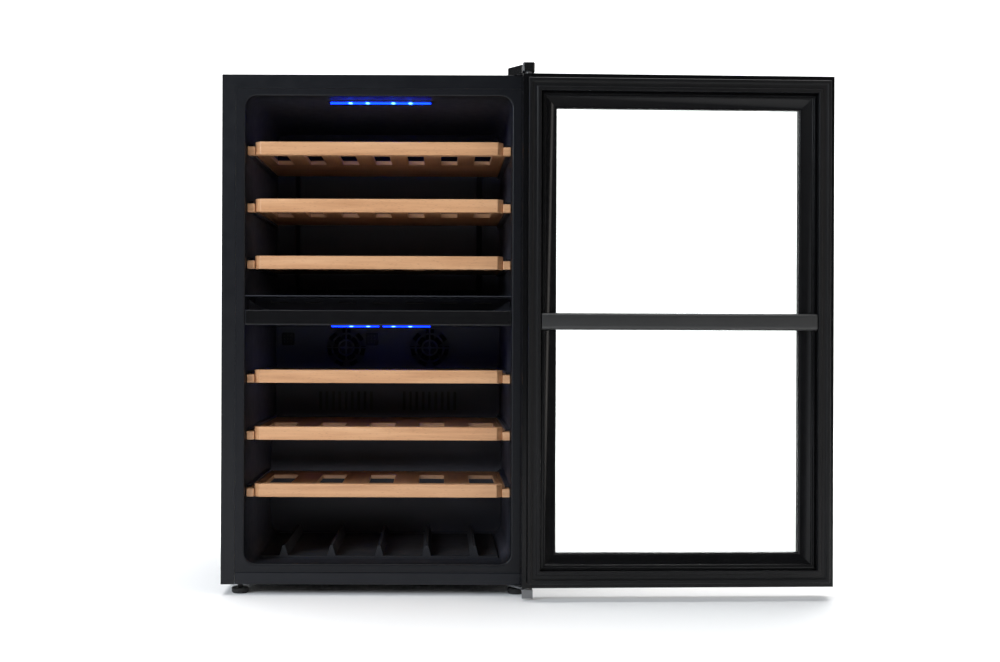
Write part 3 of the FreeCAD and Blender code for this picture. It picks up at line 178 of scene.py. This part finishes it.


# The painted fill light in the bays ramps up between these depths behind the front.
LIP_DEPTH = 8 * MM
BAY_DEPTH = 120 * MM


def moulded(name, colour, rough=(0.35, 0.5), grain=900, depth=0.00008, gloss=0.25, bay_painted_fill=None):
    """Moulded plastic: fine spark texture, slight flow marks and painted highlights on the rounded edges.

    The last argument is the base colour deep in the bay, a painted fill light: it is lighter than at the lip,
    because little light gets there.
    """
    g = Graph(name)
    light = tuple(min(1, c * 1.45) for c in colour)
    base = g.mix(g.noise(9, detail=5, warp=0.6), colour, light)
    if bay_painted_fill:
        # Painted fill light: the base colour lightens from the lip back into the bay, where little light
        # gets.
        split = g.node("ShaderNodeSeparateXYZ")
        g.link(g.where(), split.inputs["Vector"])
        behind = g.node("ShaderNodeMapRange")
        behind.inputs["From Min"].default_value = LIP_DEPTH
        behind.inputs["From Max"].default_value = BAY_DEPTH
        g.link(split.outputs["Y"], behind.inputs["Value"])
        base = g.mix(behind.outputs["Result"], base, bay_painted_fill)
    # Painted highlight: rounded edges much lighter than the flats, as if they catch the light.
    edge_highlighted = g.mix(painted_edge_highlight(g, 0.0007), base, tuple(c * 2.2 for c in light))
    flow = g.noise(24, detail=2, stretch=(1, 1, 0.4))
    g.bump(((g.noise(grain, detail=3), 0.2, depth), (flow, 0.02, 0.0003)))
    return g.set(Base_Color=edge_highlighted, Roughness=g.span(g.noise(60, detail=4), *rough), Specular_IOR_Level=gloss)


def gloss_plastic(name, colour=(0.004, 0.004, 0.0045)):
    """Polished black plastic with faint smears."""
    g = Graph(name)
    base = g.mix(g.noise(11, detail=5), colour, tuple(c * 1.8 for c in colour))
    smear = g.span(g.noise(16, detail=6, stretch=(1, 1, 3), warp=1.5), 0.05, 0.17)
    g.bump(((g.noise(30, detail=2), 0.03, 0.0012),))
    return g.set(Base_Color=base, Roughness=smear, IOR=1.5, Coat_Weight=0.4, Coat_Roughness=0.05)


def zinc():
    """Zinc plated steel with a spangle and rolled streaks."""
    g = Graph("zinc_plate")
    tone = (0.27, 0.275, 0.285)
    crystals = g.node("ShaderNodeTexVoronoi", feature="F1")
    crystals.inputs["Scale"].default_value = 130
    g.link(g.where((1, 1, 0.6)), crystals.inputs["Vector"])
    flake = g.node("ShaderNodeRGBToBW")
    g.link(crystals.outputs["Color"], flake.inputs["Color"])
    base = g.mix(flake.outputs["Val"], tuple(c * 0.8 for c in tone), tone)
    stained = g.mix(g.ramp(g.noise(5, detail=6), ((0.5, 0.0), (0.8, 0.35))), base, (0.2, 0.195, 0.185))
    g.bump(((g.noise(260, detail=4, stretch=(1, 1, 0.1)), 0.08, 0.0003),))
    return g.set(Base_Color=stained, Metallic=1.0, Roughness=g.span(flake.outputs["Val"], 0.38, 0.5))


def brushed_steel():
    """Handle bar with fine lines along its length."""
    g = Graph("brushed_steel")
    lines = g.noise(900, detail=5, stretch=(1, 1, 0.012))
    base = g.ramp(lines, ((0.3, (0.42, 0.43, 0.44)), (0.7, (0.6, 0.61, 0.62))))
    g.bump(((lines, 0.12, 0.0002),))
    return g.set(Base_Color=base, Metallic=1.0, Roughness=g.span(lines, 0.2, 0.34), Anisotropic=0.5)


def enamel():
    """Thick black enamel over a pressed can."""
    g = Graph("black_enamel")
    base = g.ramp(g.noise(18, detail=5), ((0.3, (0.009, 0.009, 0.01)), (0.7, (0.017, 0.017, 0.018))))
    dusty = g.mix(g.ramp(g.noise(7, detail=6), ((0.52, 0.0), (0.85, 0.3))), base, (0.05, 0.047, 0.042))
    g.bump(((g.noise(140, detail=3), 0.14, 0.0005),))
    return g.set(Base_Color=dusty, Roughness=g.span(g.noise(30), 0.28, 0.5), Coat_Weight=0.3,
                 Coat_Roughness=0.2)


def copper():
    """Drawn copper with darker stains from brazing."""
    g = Graph("copper")
    tones = ((0.25, (0.36, 0.13, 0.06)), (0.55, (0.7, 0.3, 0.16)), (0.8, (0.83, 0.42, 0.24)))
    base = g.ramp(g.noise(30, detail=6), tones)
    g.bump(((g.noise(400, detail=3), 0.08, 0.0002),))
    return g.set(Base_Color=base, Metallic=1.0, Roughness=g.span(g.noise(55, detail=5), 0.2, 0.45))


def rubber():
    """Soft extruded vinyl with fine lines and a waxy bloom."""
    g = Graph("gasket_rubber")
    colour = (0.0045, 0.0045, 0.005)
    bloom = g.ramp(g.noise(12, detail=6), ((0.45, 0.0), (0.8, 0.3)))
    base = g.mix(bloom, colour, tuple(c * 2.4 for c in colour))
    g.bump(((g.noise(620, detail=2), 0.1, 0.0001),))
    return g.set(Base_Color=base, Roughness=g.span(g.noise(40), 0.34, 0.46), Specular_IOR_Level=0.2)


def aluminium():
    """Thin rolled fins under a dark protective coat."""
    g = Graph("aluminium_fin")
    tones = ((0.3, (0.05, 0.051, 0.054)), (0.7, (0.085, 0.087, 0.09)))
    base = g.ramp(g.noise(70, detail=4, stretch=(1, 1, 0.1)), tones)
    g.bump(((g.noise(300, detail=3), 0.1, 0.0003),))
    return g.set(Base_Color=base, Metallic=1.0, Roughness=g.span(g.noise(30), 0.3, 0.5))


def foam():
    """Poured foam with closed cells."""
    g = Graph("insulation_foam")
    cells = g.spots(420)
    base = g.ramp(cells, ((0.0, (0.66, 0.56, 0.32)), (0.6, (0.82, 0.74, 0.5))))
    g.bump(((cells, 0.5, 0.0008),))
    return g.set(Base_Color=base, Roughness=0.9, Subsurface_Weight=0.1)


def glass():
    """Clear float glass, faintly green, with faint wipe marks."""
    g = Graph("clear_glass")
    wipes = g.span(g.noise(5, detail=5, stretch=(1, 1, 2.4), warp=1.2), 0.0, 0.035)
    return g.set(Base_Color=(0.97, 0.985, 0.98), Roughness=wipes, IOR=1.5, Transmission_Weight=1.0)


def beech(name, along="x", seed=0.0, tone=1.0):
    """Steamed beech: long soft figure, short dark ray flecks, satin lacquer."""
    g = Graph(name)
    stretch = {"x": (0.05, 1, 1), "y": (1, 0.05, 1)}[along]
    fleck_stretch = {"x": (0.16, 1, 1), "y": (1, 0.16, 1)}[along]
    shift = g.node("ShaderNodeMapping")
    shift.inputs["Location"].default_value = (seed, seed * 1.7, seed * 0.6)
    shift.inputs["Scale"].default_value = stretch
    coords = g.node("ShaderNodeTexCoord")
    g.link(coords.outputs["Object"], shift.inputs["Vector"])
    figure = g.node("ShaderNodeTexNoise")
    figure.inputs["Scale"].default_value = 95
    figure.inputs["Detail"].default_value = 7
    figure.inputs["Roughness"].default_value = 0.6
    figure.inputs["Distortion"].default_value = 0.35
    g.link(shift.outputs["Vector"], figure.inputs["Vector"])
    pale = tuple(c * tone for c in (0.66, 0.38, 0.205))
    mid = tuple(c * tone for c in (0.58, 0.31, 0.155))
    deep = tuple(c * tone for c in (0.46, 0.225, 0.105))
    base = g.ramp(figure.outputs["Fac"], ((0.28, deep), (0.5, mid), (0.72, pale)))
    flecks = g.ramp(g.spots(520, fleck_stretch), ((0.10, 0.45), (0.24, 0.0)))
    flecked = g.mix(flecks, base, tuple(c * 0.62 for c in deep))
    # Painted highlight: the rounded edges are lightened, as if they catch the light.
    rounded = g.mix(painted_edge_highlight(g, 0.0009), flecked, tuple(min(1, c * 1.12) for c in pale))
    g.bump(((figure.outputs["Fac"], 0.12, 0.0004), (g.noise(900, stretch=fleck_stretch), 0.08, 0.0002)))
    return g.set(Base_Color=rounded, Roughness=g.span(figure.outputs["Fac"], 0.36, 0.5), Coat_Weight=0.12,
                 Coat_Roughness=0.3)


def lamp_material(hot_spots):
    """Blue strip lamp: dim diffuser with a bright point over each diode."""
    g = Graph("lamp_blue")
    split = g.node("ShaderNodeSeparateXYZ")
    g.link(g.where(), split.inputs["Vector"])
    total = None
    for x in hot_spots:
        away = g.node("ShaderNodeMath", operation="SUBTRACT")
        g.link(split.outputs["X"], away.inputs[0])
        away.inputs[1].default_value = x
        near = g.node("ShaderNodeMath", operation="ABSOLUTE")
        g.link(away.outputs[0], near.inputs[0])
        spot = g.node("ShaderNodeMapRange", interpolation_type="SMOOTHERSTEP")
        spot.inputs["From Min"].default_value = 0.007
        spot.inputs["From Max"].default_value = 0.0
        g.link(near.outputs[0], spot.inputs["Value"])
        if total is None:
            total = spot.outputs["Result"]
        else:
            both = g.node("ShaderNodeMath", operation="MAXIMUM")
            g.link(total, both.inputs[0])
            g.link(spot.outputs["Result"], both.inputs[1])
            total = both.outputs[0]
    colour = g.ramp(total, ((0.0, (0.0, 0.012, 0.9)), (0.5, (0.001, 0.02, 1.0)), (1.0, (0.02, 0.07, 1.0))))
    power = g.node("ShaderNodeMapRange")
    power.inputs["To Min"].default_value = 16.0
    power.inputs["To Max"].default_value = 34.0
    g.link(total, power.inputs["Value"])
    return g.set(Base_Color=(0.02, 0.06, 0.3), Roughness=0.25, Emission_Color=colour,
                 Emission_Strength=power.outputs["Result"])


# Mesh helpers

def finish_mesh(bm, name, material, body, replaced=(), bevel=0.0006, segments=3, angle=40):
    """Object from a bmesh, rounded at its sharp edges, riding on a body."""
    bmesh.ops.recalc_face_normals(bm, faces=bm.faces)
    mesh = bpy.data.meshes.new(name)
    bm.to_mesh(mesh)
    bm.free()
    mesh.shade_smooth()
    mesh.set_sharp_from_angle(angle=math.radians(angle))
    made = bpy.data.objects.new(name, mesh)
    scene.collection.objects.link(made)
    mesh.materials.append(material)
    if bevel:
        rounding = made.modifiers.new("rounding", "BEVEL")
        rounding.width = bevel
        rounding.segments = segments
        rounding.limit_method = "ANGLE"
        rounding.angle_limit = math.radians(angle)
        rounding.harden_normals = True
    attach(made, body)
    if replaced:
        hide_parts(*replaced)
    return made


def add_block(bm, low, high):
    """Closed box between two corners."""
    made = bmesh.ops.create_cube(bm, size=1)
    low, high = Vector(low), Vector(high)
    size = high - low
    for v in made["verts"]:
        v.co = low + Vector(((v.co.x + 0.5) * size.x, (v.co.y + 0.5) * size.y, (v.co.z + 0.5) * size.z))
    return made["verts"]


def add_prism(bm, outline, to_point, low, high):
    """Closed prism: outline's 2-D points placed at two stations by to_point(u, v, w)."""
    rings = []
    for w in (low, high):
        rings.append([bm.verts.new(to_point(u, v, w)) for u, v in outline])
    count = len(outline)
    bm.faces.new(rings[0][::-1])
    bm.faces.new(rings[1])
    for i in range(count):
        j = (i + 1) % count
        bm.faces.new((rings[0][i], rings[0][j], rings[1][j], rings[1][i]))


def add_lathe(bm, profile, centre, axis=UP, steps=40):
    """Solid of revolution: profile is (radius, height) pairs from one end of the axis to the other."""
    turn = UP.rotation_difference(Vector(axis)).to_matrix()
    rings = []
    for radius, height in profile:
        if radius < 1e-7:
            rings.append([bm.verts.new(Vector(centre) + turn @ Vector((0, 0, height)))])
            continue
        ring = []
        for i in range(steps):
            a = 2 * math.pi * i / steps
            spot = Vector((radius * math.cos(a), radius * math.sin(a), height))
            ring.append(bm.verts.new(Vector(centre) + turn @ spot))
        rings.append(ring)
    for below, above in zip(rings, rings[1:]):
        for i in range(steps):
            j = (i + 1) % steps
            if len(below) == 1:
                bm.faces.new((below[0], above[j], above[i]))
            elif len(above) == 1:
                bm.faces.new((below[i], below[j], above[0]))
            else:
                bm.faces.new((below[i], below[j], above[j], above[i]))
    for ring, flip in ((rings[0], True), (rings[-1], False)):
        if len(ring) > 1:
            bm.faces.new(ring[::-1] if flip else ring)


def door_point(x, y, z):
    """Place a point drawn with the door shut where the open door has it."""
    pivot = Vector(hinge_axis)
    turned = Matrix.Rotation(DOOR_ANGLE, 3, "Z") @ (Vector((x, y, z)) - pivot)
    return turned + pivot


def shut_box(node):
    """Box of a door node with the door shut."""
    back = Matrix.Rotation(-DOOR_ANGLE, 3, "Z")
    corners = [back @ (Vector(v.co) - hinge_axis) + hinge_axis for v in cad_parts[node].data.vertices]
    return (Vector(min(c[i] for c in corners) for i in range(3)),
            Vector(max(c[i] for c in corners) for i in range(3)))


def add_ring(bm, profile, half, low, high):
    """Mitred rectangular ring on the door; profile is a closed list of (inset, depth) points."""
    corners = ((-1, 0), (1, 0), (1, 1), (-1, 1))
    loops = []
    for inset, depth in profile:
        loop = []
        for side, end in corners:
            z = high - inset if end else low + inset
            loop.append(bm.verts.new(door_point(side * (half - inset), depth, z)))
        loops.append(loop)
    for i, loop in enumerate(loops):
        after = loops[(i + 1) % len(loops)]
        for j in range(4):
            k = (j + 1) % 4
            bm.faces.new((loop[j], loop[k], after[k], after[j]))


def arc(centre, radius, start, end, steps):
    """Points of an arc from start to end, in degrees."""
    points = []
    for i in range(steps + 1):
        a = math.radians(start + (end - start) * i / steps)
        points.append((centre[0] + radius * math.cos(a), centre[1] + radius * math.sin(a)))
    return points


# Finishes of the carried-over CAD nodes

pin_low, pin_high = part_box("hinge_pins")
hinge_axis = Vector(((pin_low.x + pin_high.x) / 2, (pin_low.y + pin_high.y) / 2, 0))

DIODES = (-0.049, -0.021, 0.021, 0.049)

steel = painted_steel()
zinc_plate = zinc()
# The last colour given to the liner, cover and rack plastics is painted fill light deep in the bays.
liner_plastic = moulded("liner_plastic", (0.0065, 0.0068, 0.0085), rough=(0.3, 0.4), grain=700,
                        gloss=0.18, bay_painted_fill=(0.075, 0.077, 0.1))
cover_plastic = moulded("cover_plastic", (0.02, 0.021, 0.026), rough=(0.3, 0.42), grain=520,
                        depth=0.00014, gloss=0.15, bay_painted_fill=(0.085, 0.087, 0.11))
trim_plastic = moulded("trim_plastic", (0.011, 0.0115, 0.014), rough=(0.3, 0.42), gloss=0.18)
rack_plastic = moulded("rack_plastic", (0.012, 0.0125, 0.015), rough=(0.45, 0.55), gloss=0.08,
                       bay_painted_fill=(0.05, 0.05, 0.055))
# Light grey: painted highlight, the black louvre lips drawn as if lit from above.
louvre_painted_highlight = moulded("louvre_painted_highlight", (0.085, 0.087, 0.095), rough=(0.3, 0.42))
door_finish = moulded("door_black", (0.0030, 0.0030, 0.0034), rough=(0.16, 0.24), grain=1100,
                      depth=0.00002, gloss=0.2)
gloss_black = gloss_plastic("gloss_black_plastic")
strip_gloss = gloss_plastic("control_strip_gloss", (0.003, 0.003, 0.0035))
lamp_glow = lamp_material(DIODES)
rubber_black = rubber()
foot_plastic = moulded("foot_plastic", (0.013, 0.013, 0.013), rough=(0.4, 0.55), grain=420, depth=0.0003)
enamel_black = enamel()
copper_pipe = copper()
handle_steel = brushed_steel()
clear = glass()
# Lighter than the door's black: painted fill light on the crowned seal bar, whose face gets little light.
seal_painted_fill = moulded("seal_painted_fill", (0.022, 0.022, 0.022), rough=(0.3, 0.4), gloss=0.4)
spacer_black = moulded("spacer_black", (0.006, 0.006, 0.006), rough=(0.5, 0.6))
bush_plastic = moulded("bush_plastic", (0.16, 0.155, 0.145), rough=(0.4, 0.5))
fin_metal = aluminium()
foam_block = foam()
RAIL_TONES = (1.0, 0.96, 1.03)
SLAT_TONES = (0.97, 1.02, 0.93)
beech_rail = [beech(f"beech_rail_{i}", "x", 0.37 * i + 0.1, tone) for i, tone in enumerate(RAIL_TONES)]
beech_slat = [beech(f"beech_slat_{i}", "y", 0.53 * i + 0.2, tone) for i, tone in enumerate(SLAT_TONES)]

FINISHES = {
    "outer_shell": steel, "base_pan": steel, "back_panel": zinc_plate, "bottom_front_rail": trim_plastic,
    "inner_liner": liner_plastic, "insulation_foam": foam_block, "zone_divider": cover_plastic,
    "divider_grille": cover_plastic, "control_panel": strip_gloss, "lower_evaporator_cover": cover_plastic,
    "upper_evaporator_cover": cover_plastic, "lower_evaporator": fin_metal, "upper_evaporator": fin_metal,
    "fan_motors": trim_plastic, "sensor_covers": trim_plastic, "lamp_housings": trim_plastic,
    "lamp_lenses": lamp_glow, "floor_rack": rack_plastic, "top_hinge_plate": zinc_plate,
    "top_hinge_cover": gloss_black, "bottom_hinge_bracket": zinc_plate, "hinge_pins": zinc_plate,
    "hinge_screws": zinc_plate, "compressor": enamel_black, "compressor_grommets": rubber_black,
    "terminal_cover": trim_plastic, "drip_tray": trim_plastic, "filter_drier": copper_pipe,
    "refrigerant_pipes": copper_pipe, "power_inlet": trim_plastic, "condenser_tube": enamel_black,
    "condenser_wires": enamel_black, "condenser_clips": trim_plastic, "door_frame": door_finish,
    "outer_glass": clear, "inner_glass": clear, "glass_spacer": spacer_black, "door_inner_frame": door_finish,
    "door_gasket": rubber_black, "zone_seal_bar": door_finish, "door_handle": handle_steel,
    "hinge_bushes": bush_plastic, "left_fan_rotor": trim_plastic, "right_fan_rotor": trim_plastic,
    "front_left_foot": foot_plastic, "front_right_foot": foot_plastic, "rear_left_foot": foot_plastic,
    "rear_right_foot": foot_plastic,
}
for number in range(1, 7):
    FINISHES[f"shelf_{number}_trim"] = beech_rail[0]
    FINISHES[f"shelf_{number}_board"] = beech_slat[0]
for name, finish in FINISHES.items():
    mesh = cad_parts[name].data
    mesh.materials.clear()
    mesh.materials.append(finish)


# Shelves: front bar, side runners, back rail and separate slats

SLAT_JOINT = 0.25 * MM
TONGUE_DROP = 7.5 * MM
TRIM_INSET = 12.1 * MM
BOARD_GAUGE = 7 * MM
BOARD_ROUND = 0.8 * MM
# Openings, their pitch, their width, and how far behind the front bar's face they end
SHELF_KINDS = {"lower": (5, 85 * MM, 43 * MM, 216 * MM), "upper": (7, 56.6 * MM, 28 * MM, 191 * MM)}
SLOT_FRONT = 48 * MM


def shelf_bar(number):
    """Front bar with chamfered ends and a thin tongue at each side."""
    low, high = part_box(f"shelf_{number}_trim")
    chamfer = 9 * MM
    half = high.x - TRIM_INSET
    front, behind = low.y, high.y
    outline = [(-half, behind), (-half, front + chamfer), (-half + chamfer, front), (half - chamfer, front),
               (half, front + chamfer), (half, behind)]
    bm = bmesh.new()
    add_prism(bm, outline, lambda u, v, w: Vector((u, v, w)), low.z, high.z)
    for side in (-1, 1):
        across = sorted((side * half, side * high.x))
        add_block(bm, (across[0], front + 3 * MM, low.z), (across[1], behind, high.z - TONGUE_DROP))
    finish_mesh(bm, f"shelf_{number}_front_bar", beech_rail[number % 3], f"shelf_{number}",
                replaced=(f"shelf_{number}_trim",), bevel=1.3 * MM, segments=4)


def shelf_boards(number):
    """Slats running front to back between two rails, with a runner at each side."""
    kind = "upper" if number > 3 else "lower"
    count, pitch, wide, slot_back = SHELF_KINDS[kind]
    low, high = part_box(f"shelf_{number}_board")
    half = high.x - TRIM_INSET
    top, under = low.z + BOARD_GAUGE, low.z
    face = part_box(f"shelf_{number}_trim")[0].y
    start, end = face + SLOT_FRONT, face + slot_back
    body = f"shelf_{number}"
    bm = bmesh.new()
    add_block(bm, (-half, low.y, under), (half, start - SLAT_JOINT, top))
    finish_mesh(bm, f"{body}_front_rail", beech_rail[(number + 1) % 3], body,
                replaced=(f"{body}_board",), bevel=BOARD_ROUND)
    bm = bmesh.new()
    add_block(bm, (-half, end + SLAT_JOINT, under), (half, high.y, top))
    finish_mesh(bm, f"{body}_back_rail", beech_rail[(number + 2) % 3], body, bevel=BOARD_ROUND)
    gaps = [((i - count // 2) * pitch - wide / 2, (i - count // 2) * pitch + wide / 2) for i in range(count)]
    edges = [-half] + [x for gap in gaps for x in gap] + [half]
    for i in range(0, len(edges), 2):
        bm = bmesh.new()
        add_block(bm, (edges[i], start, under), (edges[i + 1], end, top))
        finish_mesh(bm, f"{body}_slat_{i // 2 + 1}", beech_slat[(number + i // 2) % 3], body,
                    bevel=BOARD_ROUND)
    bm = bmesh.new()
    for side in (-1, 1):
        across = sorted((side * half, side * high.x))
        add_block(bm, (across[0] + SLAT_JOINT, low.y, low.z), (across[1], high.y, high.z))
    finish_mesh(bm, f"{body}_runners", beech_slat[number % 3], body, bevel=BOARD_ROUND)


for number in range(1, 7):
    shelf_bar(number)
    shelf_boards(number)


# Door: gasket and inner frame with their real sections

def seal_bar():
    """Crowned bar across the door at the divider's height."""
    low, high = shut_box("zone_seal_bar")
    middle = (low.z + high.z) / 2
    tall = (high.z - low.z) / 2
    round_over = 6 * MM
    outline = [(low.y, middle - tall + 1.2 * MM), (high.y - round_over, middle - tall)]
    outline += arc((high.y - round_over, middle - tall + round_over), round_over, -90, 0, 8)[1:]
    outline += arc((high.y - round_over, middle + tall - round_over), round_over, 0, 90, 8)
    outline += [(low.y, middle + tall - 1.2 * MM)]
    bm = bmesh.new()
    add_prism(bm, outline, lambda u, v, w: door_point(w, u, v), low.x, high.x)
    finish_mesh(bm, "door_zone_seal", seal_painted_fill, "door", replaced=("zone_seal_bar",),
                bevel=0.4 * MM, segments=2, angle=50)


def door_rings():
    frame_low, frame_high = shut_box("door_frame")
    half, low, high = frame_high.x, frame_low.z, frame_high.z
    gasket_low, gasket_high = shut_box("door_gasket")
    base, face = gasket_low.y, gasket_high.y
    first = half - gasket_high.x
    wide = 21 * MM
    lip = 1.4 * MM

    def across(share):
        return first + wide * share

    fold = 0.3 * MM
    profile = [(across(0.06), base), (across(0.10), face - 4.2 * MM), (across(0.0) + fold, face - 3.4 * MM)]
    profile += arc((across(0.10), face - lip), lip, 180, 90, 6)
    profile += arc((across(0.24), face - lip), lip, 90, 0, 5)
    profile += [(across(0.40), face - 2.6 * MM), (across(0.50), face - 2.1 * MM)]
    profile += [(across(0.60), face - 2.6 * MM)]
    profile += arc((across(0.76), face - lip), lip, 180, 90, 5)
    profile += arc((across(0.90), face - lip), lip, 90, 0, 6)
    profile += [(across(1.0) - fold, face - 3.4 * MM), (across(0.90), face - 4.2 * MM), (across(0.94), base)]
    bm = bmesh.new()
    add_ring(bm, profile, half, low, high)
    finish_mesh(bm, "door_gasket_seal", rubber_black, "door", replaced=("door_gasket",),
                bevel=0.25 * MM, segments=2, angle=50)

    inner_low, inner_high = shut_box("door_inner_frame")
    start = half - inner_high.x
    back, face = inner_low.y, inner_high.y
    edge = 24.2 * MM
    bead = 1.2 * MM
    profile = [(start, back), (start, face - 0.6 * MM), (start + 0.6 * MM, face), (start + 2.9 * MM, face)]
    profile += [(start + 3.6 * MM, face - 1.3 * MM)]
    profile += arc((start + 5.1 * MM, face - 1.9 * MM), bead, 150, 0, 8)
    profile += [(start + 6.8 * MM, face - 3.2 * MM), (start + edge - 3.2 * MM, face - 8.4 * MM)]
    profile += arc((start + edge - 1.6 * MM, face - 9.6 * MM), bead, 120, 0, 6)
    profile += [(start + edge, face - 10.6 * MM), (start + edge, back)]
    bm = bmesh.new()
    add_ring(bm, profile, half, low, high)
    finish_mesh(bm, "door_inner_bezel", door_finish, "door", replaced=("door_inner_frame",),
                bevel=0.3 * MM, segments=2, angle=50)


door_rings()
seal_bar()


# Small fastenings, weld flange and slot lips

def add_screw(bm, centre, normal, radius, height):
    """Domed head."""
    profile = [(radius * 0.98, -0.2 * MM), (radius, height * 0.25), (radius * 0.86, height * 0.72),
               (radius * 0.5, height), (0, height * 1.06)]
    add_lathe(bm, profile, centre, normal, steps=20)


def panel_screws():
    """Screws round the back panel's sides and along its top."""
    low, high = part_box("back_panel")
    inset = 9 * MM
    bm = bmesh.new()
    for side in (-1, 1):
        for i in range(5):
            z = low.z + (high.z - low.z) * (0.3 + 0.165 * i)
            add_screw(bm, (side * (high.x - inset), high.y, z), (0, 1, 0), 4 * MM, 1.8 * MM)
    for i in range(3):
        add_screw(bm, ((i - 1) * high.x * 0.6, high.y, high.z - inset), (0, 1, 0), 4 * MM, 1.8 * MM)
    finish_mesh(bm, "back_panel_screws", zinc_plate, "cabinet", bevel=0.15 * MM,
                segments=2)


def compressor_seam():
    """Weld flange round the can."""
    low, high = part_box("compressor")
    centre = ((low.x + high.x) / 2, (low.y + high.y) / 2, low.z + (high.z - low.z) * 0.62)
    radius, swell = 50 * MM, 1.7 * MM
    profile = [(radius - 2 * MM, -2.2 * MM)] + [(radius + y, x) for x, y in arc((0, 0), swell, 180, 0, 6)]
    profile += [(radius - 2 * MM, 2.2 * MM)]
    bm = bmesh.new()
    add_lathe(bm, profile, centre, steps=72)
    finish_mesh(bm, "compressor_weld_flange", enamel_black, "cabinet", bevel=0)


def duct_louvres():
    """Raised lip under each slot of the divider's duct grille."""
    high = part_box("divider_grille")[1]
    pitch, wide, count = 56.6 * MM, 29 * MM, 7
    slot_low = high.z - 8 * MM
    face = high.y - 2 * MM
    root, tip, droop = face + 0.5 * MM, face - 3 * MM, 1.2 * MM
    bm = bmesh.new()
    for i in range(count):
        x = (i - count // 2) * pitch
        outline = [(root, slot_low), (tip, slot_low - droop), (tip, slot_low - 0.2 * MM),
                   (root, slot_low + droop)]
        add_prism(bm, outline, lambda u, v, w: Vector((w, u, v)), x - wide / 2, x + wide / 2)
    finish_mesh(bm, "duct_louvres", louvre_painted_highlight, "cabinet", bevel=0.25 * MM, segments=2)


panel_screws()
compressor_seam()
duct_louvres()


# Stage: pale floor and backdrop, soft lights, camera

# The paper glows from this far behind the cabinet's front, fully by the second distance
GLOW_STARTS = 0.8
GLOW_FULL = 2.4


def backdrop():
    """Floor that sweeps up behind the object."""
    near, far, radius, tall, half = -6.0, 8.0, 1.2, 6.0, 14.0
    side = [(near, 0), (far - radius, 0)]
    side += [(far - radius + y, radius + x) for x, y in arc((0, 0), radius, 180, 90, 14)][1:]
    side += [(far, tall)]
    bm = bmesh.new()
    rows = [[bm.verts.new((x, y, z)) for y, z in side] for x in (-half, half)]
    for i in range(len(side) - 1):
        bm.faces.new((rows[0][i], rows[1][i], rows[1][i + 1], rows[0][i + 1]))
    mesh = bpy.data.meshes.new("backdrop")
    bm.to_mesh(mesh)
    bm.free()
    mesh.shade_smooth()
    sweep = bpy.data.objects.new("backdrop", mesh)
    scene.collection.objects.link(sweep)
    g = Graph("pale_paper")
    split = g.node("ShaderNodeSeparateXYZ")
    g.link(g.where(), split.inputs["Vector"])
    rise = g.node("ShaderNodeMapRange")
    rise.inputs["From Min"].default_value = GLOW_STARTS
    rise.inputs["From Max"].default_value = GLOW_FULL
    rise.inputs["To Min"].default_value = 0.0
    rise.inputs["To Max"].default_value = 1.0
    g.link(split.outputs["Y"], rise.inputs["Value"])
    mesh.materials.append(g.set(Base_Color=(0.93, 0.93, 0.93), Roughness=0.9, Emission_Color=(1.0, 1.0, 1.0),
                                Emission_Strength=rise.outputs["Result"]))


def soft_light(name, place, target, size, power, tint=(1, 1, 1)):
    """Square area light that looks at target."""
    data = bpy.data.lights.new(name, "AREA")
    data.shape = "RECTANGLE"
    data.size, data.size_y = size
    data.energy = power
    data.color = tint
    lamp = bpy.data.objects.new(name, data)
    lamp.location = place
    lamp.rotation_euler = (Vector(target) - Vector(place)).to_track_quat("-Z", "Y").to_euler()
    scene.collection.objects.link(lamp)


def studio():
    world = bpy.data.worlds.new("studio")
    scene.world = world
    world.use_nodes = True
    sky = world.node_tree.nodes["Background"]
    sky.inputs["Color"].default_value = (1, 1, 1, 1)
    sky.inputs["Strength"].default_value = 0.06
    soft_light("key", (-2.6, -2.5, 2.0), (0.0, 0.2, 0.42), (1.2, 1.8), 125, (0.86, 0.93, 1.0))
    soft_light("fill", (3.0, -2.6, 1.2), (0.2, 0.2, 0.4), (1.0, 1.6), 20, (1.0, 0.95, 0.9))
    soft_light("top", (0.1, 0.6, 3.4), (0.1, 0.6, 0.4), (3.6, 2.8), 170)
    soft_light("rear", (1.8, 3.0, 2.2), (0.1, 0.3, 0.4), (1.8, 1.8), 50)


def camera():
    """Level view along +Y, at half the cabinet's height, with the door swung fully open."""
    data = bpy.data.cameras.new("camera")
    data.lens, data.sensor_width = 49.7, 36
    data.shift_x = 0.06
    made = bpy.data.objects.new("camera", data)
    made.location = (0.0985, -2.2, 0.4219)
    made.rotation_euler = (math.radians(90), math.radians(-0.2), 0)
    scene.collection.objects.link(made)
    scene.camera = made


backdrop()
studio()
camera()
scene.view_settings.view_transform = "Standard"
